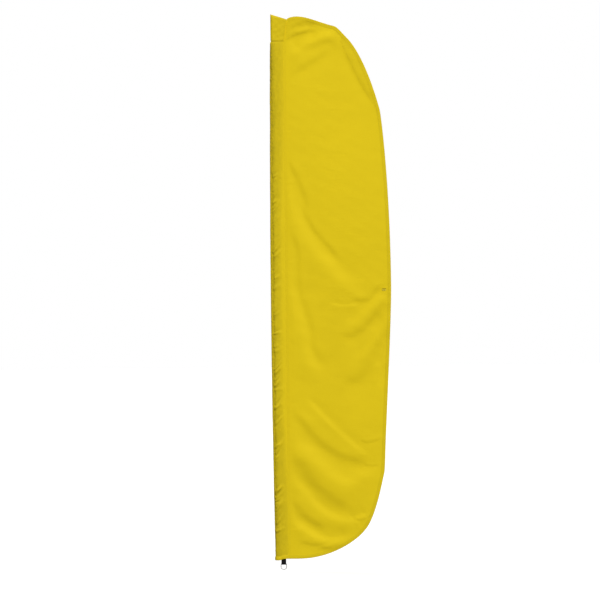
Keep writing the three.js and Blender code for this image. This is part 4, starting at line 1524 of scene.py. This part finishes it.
    def _shell(self, name: str, loops: Array, cuts: Array, material: bpy.types.Material) -> bpy.types.Object:
        """A closed piece through a row of loops that runs from one flat end to the other."""
        stations, count = loops.shape[:2]
        faces = []
        for i in range(stations - 1):
            for k in range(count):
                m = (k + 1) % count
                faces.append([i * count + k, i * count + m, (i + 1) * count + m, (i + 1) * count + k])
        half = count // 2
        for start in (0, (stations - 1) * count):
            for k in range(half):
                a, b = start + k, start + k + 1
                c, d = start + count - 2 - k, start + count - 1 - k
                quad = [a, b, c, d] if b != c else [a, b, d]
                if len(set(quad)) == len(quad) and b < c + 1:
                    faces.append(quad)
        piece = make_piece(name, loops.reshape(-1, 3), faces, material, cuts.reshape(-1, 2))
        turn_out(piece)
        return piece

    def _pocket(self) -> bpy.types.Object:
        """The doubled pocket over the sleeve's top, open below and sewn shut along its top edge."""
        foot_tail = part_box("seam_binding_front")[0].x + 0.005
        head_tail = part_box("tip_pocket")[1].x
        half = self.seam_half + 0.0007 + self.pocket_wall
        ripple = Ripple(SEED + 30, 0.02, 0.08, 16)
        loops = []
        heights = np.linspace(0, 1, 22)

        def loop_at(share: float, wall: float, pinch: float = 1.0, below: float = 0.0) -> Array:
            """One loop of the pocket, between its foot and its top edge."""
            tail = foot_tail + (head_tail - foot_tail) * share
            section = self.section(self.pocket_radius - wall, 0.0, half - wall * 0.7, tail - wall * 0.3)
            top = self.head_line(section[:, 0], below)
            z = self.pocket_foot + (top - self.pocket_foot) * share
            stand = 0.0009 * (1 + ripple.at(section[:, 0], z)) if wall == 0 else np.zeros(len(section))
            stand = stand * np.clip((section[:, 0] + 0.012) / 0.01, 0, 1)
            moved = section * np.array([1.0, pinch])
            moved[:, 1] += np.sign(moved[:, 1]) * stand
            return np.c_[moved, z]

        wall = self.pocket_wall
        loops += [loop_at(s, 0.0, 1.0, 0.012) for s in heights]
        for share, pinch in ((0.5, 0.93), (0.8, 0.72), (0.94, 0.45), (1.0, 0.14)):
            loops.append(loop_at(1.0, 0.0, pinch, 0.012 * (1 - share)))
        inner = [loop_at(s, wall, 1.0, 0.014) for s in np.linspace(0, 1, 6)]
        inner.append(loop_at(1.0, wall, 0.6, 0.006))
        inner.append(loop_at(1.0, wall, 0.10, 0.0022))
        every = np.stack(inner[::-1] + loops)
        piece = self._shell("tip_pocket_cloth", every, self._cuts(every), self.wardrobe.pocket)
        return finish_piece(piece, "flag", Slot.HEM, "tip_pocket")

    def _mouth_loop(self, radius: float, half: float, rise: float, swell: float = 0.0) -> Array:
        """One loop of the mouth's hem.

        Args:
            radius: its radius round the pole.
            half: half its thickness at the seam.
            rise: its height above the mouth.
            swell: how far it may stand out in small waves.

        Returns:
            The loop's points.
        """
        width = self.mouth_top - self.mouth_z - self.mouth_rise
        bow = self.bow_at(0.02) * min(max(rise / width, 0.0), 1.0)
        section = self.section(radius, bow, half)
        z = self.mouth_line(section[:, 0]) + rise
        stand = swell * (1 + self.mouth_ripple.at(section[:, 0] * 1.3, z)) * 0.5
        moved = moved_right(section, stand[:, None], closed=True)
        moved[:, 0] = np.minimum(moved[:, 0], self.seam_x + 0.0003)
        return np.c_[moved, z]

    def _mouth_hem(self) -> bpy.types.Object:
        """The cloth turned up round the sleeve's mouth."""
        width = 0.020
        outer, inner, half = self.radius + 0.0016, self.radius + 0.0006, self.seam_half + 0.0010
        rows = (
            (outer - 0.0004, half - 0.0003, width - 0.0002, 0.0),
            (outer + 0.0002, half, width - 0.0030, 0.0004),
            (outer + 0.0004, half, width - 0.0060, 0.0007),
            (outer + 0.0005, half, width * 0.5, 0.0010),
            (outer + 0.0005, half, 0.004, 0.0008),
            (outer, half, 0.0008, 0.0),
            (outer - 0.0004, half - 0.0002, 0.0, 0.0),
            (inner - 0.0001, half - 0.0007, 0.0002, 0.0),
            (inner, half - 0.0007, width * 0.5, 0.0),
            (inner, half - 0.0007, width - 0.0004, 0.0),
        )
        every = np.stack([self._mouth_loop(*row) for row in rows])
        piece = swept_band("sleeve_mouth_hem_cloth", every, self._cuts(every), self.wardrobe.hem, closed=True)
        return finish_piece(piece, "flag", Slot.HEM, "sleeve_mouth_hem")

    def _stitches(self) -> bpy.types.Object:
        """Stitches round the pocket, down the sleeve's seam and round its mouth."""
        tail_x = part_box("seam_binding_front")[0].x + 0.002
        rows = []
        for side in Side:
            sign = -side.value
            z = np.arange(0.03, self.pocket_foot - 0.004, 0.008)
            x = np.full_like(z, self.seam_x - 0.004)
            y = np.full_like(z, sign * (self.seam_half + 0.00062))
            rows.append(np.c_[x, y, z])
            half = self.seam_half + 0.0007 + self.pocket_wall + 0.0004
            section = self.section(self.pocket_radius + 0.0007, 0.0, half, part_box("tip_pocket")[1].x - 0.003)
            face = section[(section[:, 1] * sign > 0) & (section[:, 0] > -0.004)]
            face = face[np.argsort(face[:, 0])]
            low_face = face[face[:, 0] < tail_x]
            rows.append(np.c_[low_face, np.full(len(low_face), self.pocket_foot + 0.004)])
            tail = face[-1]
            drop = np.linspace(0, 1, 24)[:, None]
            top_point = np.array([tail[0], tail[1], float(self.head_line(tail[0], 0.010))])
            low_point = np.array([tail_x, tail[1], self.pocket_foot + 0.004])
            rows.append(top_point * (1 - drop) + low_point * drop)
        mouth = self._mouth_loop(self.radius + 0.0019, self.seam_half + 0.00105, rise=0.0170, swell=0.0004)
        rows.append(mouth[1:-1])
        piece = self.stitching.rows("sleeve_stitches", rows, self.wardrobe.thread)
        return finish_piece(piece, "flag", Slot.HEM)


# ---------------------------------------------------------------- webbing loop and ring


@dataclass
class Tether:
    """The webbing that is sewn into the sleeve's mouth, and the D ring in its loop."""

    wardrobe: Wardrobe
    stitching: Stitching
    thick: float = 0.0014
    wire: float = 0.0015
    ring_corner: float = 0.002
    eye_gap: float = 0.0003

    def __post_init__(self) -> None:
        """Reads the places of the webbing and ring from the frame."""
        self.loop_low, self.loop_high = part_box("webbing_loop")
        self.anchor_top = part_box("webbing_anchor")[1].z
        self.ring_low, self.ring_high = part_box("d_ring")
        hinge = {j["name"]: Vector(j["pos_m"]) for j in frame["joints"] if "pos_m" in j}
        self.hinge, self.bar = hinge["tab_swing"], hinge["ring_swing"]

    def build(self) -> None:
        """Makes the webbing, its box stitch and the ring."""
        self._webbing()
        self._ring()

    def _centreline(self) -> Array:
        """The strap's middle line in YZ, from one sewn end round the bar to the other."""
        near = 0.00075
        eye = self.wire + self.eye_gap + self.thick / 2
        z_split = self.hinge.z - 0.0005
        down = [(-near, z) for z in np.linspace(self.anchor_top, z_split, 10)]
        turn = np.linspace(math.radians(-15), math.radians(195), 24)
        bend = [(-eye * math.cos(t), self.bar.z - eye * math.sin(t)) for t in turn]
        up = [(-y, z) for y, z in down[::-1]]
        return np.array(down + bend + up)

    def _webbing(self) -> None:
        """One strap, folded round the bar, with rounded edges and its two layers sewn together."""
        line = smooth_line(self._centreline(), 0.0012)
        along = np.gradient(line, axis=0)
        along /= np.linalg.norm(along, axis=1, keepdims=True)
        normal = np.stack([along[:, 1], -along[:, 0]], 1)
        half_width = (self.loop_high.x - self.loop_low.x) / 2
        centre = (self.loop_high.x + self.loop_low.x) / 2
        layer = np.where(line[:, 1] > self.hinge.z - 0.003, 0.62, 1.0) * self.thick / 2
        upper = [
            (-0.985, 0.7), (-0.94, 0.96), (-0.5, 1.0), (0.0, 1.0), (0.5, 1.0), (0.94, 0.96), (0.985, 0.7),
        ]
        lower = [(across, -deep) for across, deep in upper[::-1]]
        shape = [(-1.0, 0.0), *upper, (1.0, 0.0), *lower]
        run = run_along(line)
        loops, cuts = [], []
        for across, deep in shape:
            off = line + normal * (layer * deep)[:, None]
            loops.append(np.c_[np.full(len(line), centre + across * half_width), off])
            cuts.append(np.stack([np.full(len(line), across * half_width), run], 1))
        strap = swept_band("webbing_strap", np.stack(loops, 1), np.stack(cuts, 1), self.wardrobe.webbing)
        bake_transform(strap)
        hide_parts("webbing_anchor", "webbing_loop")
        LOG.info("%s: %d faces", strap.name, len(strap.data.polygons))
        x0, x1 = centre - half_width + 0.003, centre + half_width - 0.003
        z0, z1 = self.hinge.z - 0.0035, self.hinge.z - 0.0085
        rows = []
        for sign in (-1, 1):
            y0, y1 = sign * 0.0018, sign * 0.0024
            rows.append(np.array([[x0, y0, z0], [x1, y0, z0]]))
            rows.append(np.array([[x0, y1, z1], [x1, y1, z1]]))
        thread = self.wardrobe.black_thread
        piece = self.stitching.rows("webbing_stitches", rows, thread, pitch=0.0024, length=0.002)
        finish_piece(piece, "tether_loop", Slot.WEBBING)

    def _ring(self) -> None:
        """The ring: a straight bar and a round bow of wire, with the weld on the bar."""
        half = (self.ring_high.x - self.ring_low.x) / 2 - self.wire
        centre = (self.ring_high.x + self.ring_low.x) / 2
        bow_z = self.ring_low.z + self.wire + half
        corner = self.ring_corner
        line = []
        for t in np.linspace(0, math.pi / 2, 7):
            line.append((half - corner + corner * math.cos(t), self.bar.z - corner + corner * math.sin(t)))
        for x in np.linspace(half - corner, corner - half, 30)[1:-1]:
            line.append((x, self.bar.z))
        for t in np.linspace(math.pi / 2, math.pi, 7):
            line.append((corner - half + corner * math.cos(t), self.bar.z - corner + corner * math.sin(t)))
        for t in np.linspace(math.pi, 2 * math.pi, 49)[:-1]:
            line.append((half * math.cos(t), bow_z + half * math.sin(t)))
        path = np.array(line)
        along = np.roll(path, -1, 0) - np.roll(path, 1, 0)
        along /= np.linalg.norm(along, axis=1, keepdims=True)
        angle = np.linspace(0, 2 * math.pi, 20, endpoint=False)
        loops = []
        for (x, z), (tx, tz) in zip(path, along):
            on_bar = abs(z - self.bar.z) < 0.001
            weld = math.exp(-((x / 0.0011) ** 2)) * (0.00022 if on_bar else 0.0)
            thick = self.wire + weld
            out = thick * np.cos(angle)
            loops.append(np.c_[centre + x + tz * out, thick * np.sin(angle), z - tx * out])
        every = np.stack(loops)
        cuts = np.zeros((*every.shape[:2], 2))
        piece = swept_band("d_ring_wire", every, cuts, self.wardrobe.ring, closed=True)
        finish_piece(piece, "tether_ring", Slot.RING, "d_ring")


# ---------------------------------------------------------------- the pole


@dataclass
class Pole:
    """The four plug-together sections, their metal fittings, the foot bush and the loose cap."""

    wardrobe: Wardrobe
    sides: int = 64
    edge: float = 0.0004

    def build(self) -> None:
        """Makes every part of the pole from its CAD node's own profile."""
        w = self.wardrobe
        rows = (
            ("foot_bush", "base_section", w.bush, Slot.BUSH),
            ("base_tube", "base_section", w.fibreglass, Slot.FIBREGLASS),
            ("base_ferrule", "base_section", w.aluminium, Slot.ALUMINIUM),
            ("middle_tube", "middle_section", w.fibreglass, Slot.FIBREGLASS),
            ("middle_stop_ring", "middle_section", w.aluminium, Slot.ALUMINIUM),
            ("middle_ferrule", "middle_section", w.aluminium, Slot.ALUMINIUM),
            ("upper_tube", "upper_section", w.fibreglass, Slot.FIBREGLASS),
            ("upper_stop_ring", "upper_section", w.aluminium, Slot.ALUMINIUM),
            ("upper_ferrule", "upper_section", w.aluminium, Slot.ALUMINIUM),
            ("tip_rod", "tip_section", w.fibreglass, Slot.FIBREGLASS),
            ("tip_stop_ring", "tip_section", w.aluminium, Slot.ALUMINIUM),
            ("tip_cap", "cap", w.rubber, Slot.CAP),
        )
        for node, body, material, slot in rows:
            self._turned(node, body, material, slot)

    def _profile(self, node: str) -> list[Point]:
        """A round CAD node's profile (radius, height), read from one side of its mesh."""
        work = bmesh.new()
        work.from_mesh(frame["nodes"][node].data)
        bmesh.ops.remove_doubles(work, verts=work.verts, dist=1e-6)
        links = {}
        for edge in work.edges:
            a, b = (v.co for v in edge.verts)
            if all(abs(c.y) < 2e-5 and c.x > -1e-6 for c in (a, b)):
                pa, pb = ((round(c.x, 6), round(c.z, 6)) for c in (a, b))
                links.setdefault(pa, set()).add(pb)
                links.setdefault(pb, set()).add(pa)
        work.free()
        ends = [p for p, near in links.items() if len(near) == 1]
        here = min(ends or links, key=lambda p: (p[1], p[0]))
        order, last = [here], None
        while True:
            onward = [p for p in links[here] if p != last and p not in order]
            if not onward:
                break
            onward.sort(key=lambda p: (p[1], -p[0]))
            last, here = here, onward[0]
            order.append(here)
        return order

    def _eased(self, profile: list[Point], closed: bool) -> list[Point]:
        """The profile with its square corners eased off."""
        done = []
        count = len(profile)
        for i, p in enumerate(profile):
            if not closed and i in (0, count - 1):
                done.append(p)
                continue
            a, b = np.array(profile[i - 1]), np.array(profile[(i + 1) % count])
            p = np.array(p)
            to_a, to_b = a - p, b - p
            len_a, len_b = np.hypot(*to_a), np.hypot(*to_b)
            turn = abs(float(np.cross(to_a / len_a, to_b / len_b)))
            ease = min(self.edge, len_a * 0.3, len_b * 0.3)
            if turn < 0.5:
                done.append(tuple(p))
                continue
            first, second = p + to_a / len_a * ease, p + to_b / len_b * ease
            for t in (0.0, 0.33, 0.67, 1.0):
                done.append(tuple(first * (1 - t) ** 2 + 2 * p * t * (1 - t) + second * t * t))
        return done

    def _turned(self, node: str, body: str, material: bpy.types.Material, slot: Slot) -> bpy.types.Object:
        """One round part, turned from its profile.

        Args:
            node: the CAD node that it stands for.
            body: the body that it rides on.
            material: its finish.
            slot: the record's slot.

        Returns:
            The part.
        """
        profile = self._profile(node)
        on_axis = [p for p in profile if p[0] < 1e-5]
        closed = not on_axis
        line = self._eased(profile, closed)
        points, faces, rings = [], [], []
        for radius, z in line:
            if radius < 1e-5:
                rings.append([len(points)])
                points.append((0.0, 0.0, z))
                continue
            rings.append(list(range(len(points), len(points) + self.sides)))
            for k in range(self.sides):
                angle = 2 * math.pi * k / self.sides
                points.append((radius * math.cos(angle), radius * math.sin(angle), z))
        pairs = list(zip(rings[:-1], rings[1:])) + ([(rings[-1], rings[0])] if closed else [])
        for low, high in pairs:
            for k in range(self.sides):
                m = (k + 1) % self.sides
                if len(low) == 1 and len(high) == 1:
                    break
                if len(low) == 1:
                    faces.append([low[0], high[m], high[k]])
                elif len(high) == 1:
                    faces.append([low[k], low[m], high[0]])
                else:
                    faces.append([low[k], low[m], high[m], high[k]])
        piece = make_piece(node + "_finished", np.array(points), faces, material)
        turn_out(piece)
        self._shade(piece)
        return finish_piece(piece, body, slot, node)

    def _shade(self, piece: bpy.types.Object) -> None:
        """Keeps the part's flats flat and its rounds smooth."""
        piece.data.set_sharp_from_angle(angle=math.radians(38))


# ---------------------------------------------------------------- studio


@dataclass
class Studio:
    """The pale floor, the white surround, the soft lights and the camera."""

    aim: Triple = (0.1238, 0.0, 1.3005)
    span: float = 3.024
    distance: float = 30.0
    roll: float = 0.623
    key_from: Triple = (0.50, -1.0, 0.90)
    key_power: float = 2.95
    fill_power: float = 1.0
    box_power: float = 30.0
    ambient: float = 0.14

    def build(self) -> None:
        """Sets up the surround, lights, floor and camera."""
        scene = bpy.context.scene
        scene.view_settings.view_transform = "Standard"
        self._surround(scene)
        self._sun("key", self.key_from, self.key_power, 32.0)
        self._sun("fill", (-1.0, -0.15, 0.05), self.fill_power, 80.0)
        self._sun("back", (-0.4, 1.0, 0.8), self.key_power * 0.9, 40.0)
        self._soft_box()
        self._floor()
        self._camera(scene)

    def _surround(self, scene: bpy.types.Scene) -> None:
        """A white surround that lights the flag softly."""
        world = bpy.data.worlds.new("studio")
        scene.world = world
        world.use_nodes = True
        tree = world.node_tree
        soft = next(n for n in tree.nodes if n.type == "BACKGROUND")
        soft.inputs["Color"].default_value = (1, 1, 1, 1)
        soft.inputs["Strength"].default_value = self.ambient
        white = tree.nodes.new("ShaderNodeBackground")
        white.inputs["Color"].default_value = (1, 1, 1, 1)
        white.inputs["Strength"].default_value = 1.0
        path = tree.nodes.new("ShaderNodeLightPath")
        mix = tree.nodes.new("ShaderNodeMixShader")
        out = next(n for n in tree.nodes if n.type == "OUTPUT_WORLD")
        tree.links.new(path.outputs["Is Camera Ray"], mix.inputs[0])
        tree.links.new(soft.outputs[0], mix.inputs[1])
        tree.links.new(white.outputs[0], mix.inputs[2])
        tree.links.new(mix.outputs[0], out.inputs["Surface"])

    def _light(self, name: str, kind: str, power: float, source: Vector) -> bpy.types.Object:
        """A light that shines from a direction."""
        lamp = bpy.data.lights.new(name, kind)
        lamp.energy = power
        holder = bpy.data.objects.new(name, lamp)
        holder.rotation_mode = "QUATERNION"
        holder.rotation_quaternion = source.to_track_quat("Z", "Y")
        bpy.context.scene.collection.objects.link(holder)
        return holder

    def _sun(self, name: str, source: Triple, power: float, spread: float) -> None:
        """A broad soft light from a direction."""
        holder = self._light(name, "SUN", power, Vector(source))
        holder.data.angle = math.radians(spread)

    def _soft_box(self) -> None:
        """A large soft box high in front, which lights the flag's head a little more than its foot."""
        place = Vector((1.3, -4.0, 3.6))
        holder = self._light("soft box", "AREA", self.box_power, place - Vector((0.3, 0.0, 1.7)))
        holder.location = place
        holder.data.size = 2.4

    def _floor(self) -> None:
        """A wide pale floor just below the ring."""
        f = Finish("pale floor", Slot.FLAG)
        tint = f.noise(f.place(), 0.4)
        f.dress(
            Base_Color=f.mix(tint * 0.3, (0.21, 0.21, 0.21), (0.20, 0.20, 0.20)),
            Roughness=0.9,
            Emission_Color=(1.0, 1.0, 1.0, 1.0),
            Emission_Strength=0.79,
        )
        z = float(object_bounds()[0].z) - 0.004
        size = 90.0
        corners = np.array([(-size, -size, z), (size, -size, z), (size, size, z), (-size, size, z)])
        floor = make_piece("floor", corners, [[0, 1, 2, 3]], f.material)
        floor.visible_diffuse = floor.visible_glossy = False  # no bounce, so the folds keep their shade
        floor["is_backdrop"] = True

    def _camera(self, scene: bpy.types.Scene) -> None:
        """A long-lens camera level with the flag's middle, in front of it."""
        data = bpy.data.cameras.new("camera")
        data.sensor_width = 36.0
        data.lens = 36.0 * self.distance / self.span
        data.clip_start, data.clip_end = 0.5, 400.0
        camera = bpy.data.objects.new("camera", data)
        camera.location = Vector(self.aim) - Vector((0, self.distance, 0))
        look = Vector((0, 1, 0)).to_track_quat("-Z", "Y").to_matrix().to_4x4()
        turn = Matrix.Rotation(math.radians(-self.roll), 4, "Z")
        camera.rotation_mode = "QUATERNION"
        camera.rotation_quaternion = (look @ turn).to_quaternion()
        scene.collection.objects.link(camera)
        scene.camera = camera


def main() -> None:
    """Builds the flag, sub-assembly by sub-assembly."""
    logging.basicConfig(level=logging.INFO, format="%(name)s: %(message)s")
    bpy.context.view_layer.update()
    low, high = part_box("flag_panel")
    wardrobe = Wardrobe()
    stitching = Stitching()
    drape = Drape(seam_x=low.x, free_x=high.x, folds=FOLDS)
    Pole(wardrobe).build()
    Sleeve(drape, wardrobe, stitching).build()
    Panel(drape, wardrobe, stitching).build()
    Tether(wardrobe, stitching).build()
    Studio().build()


if __name__ == "__main__":
    main()
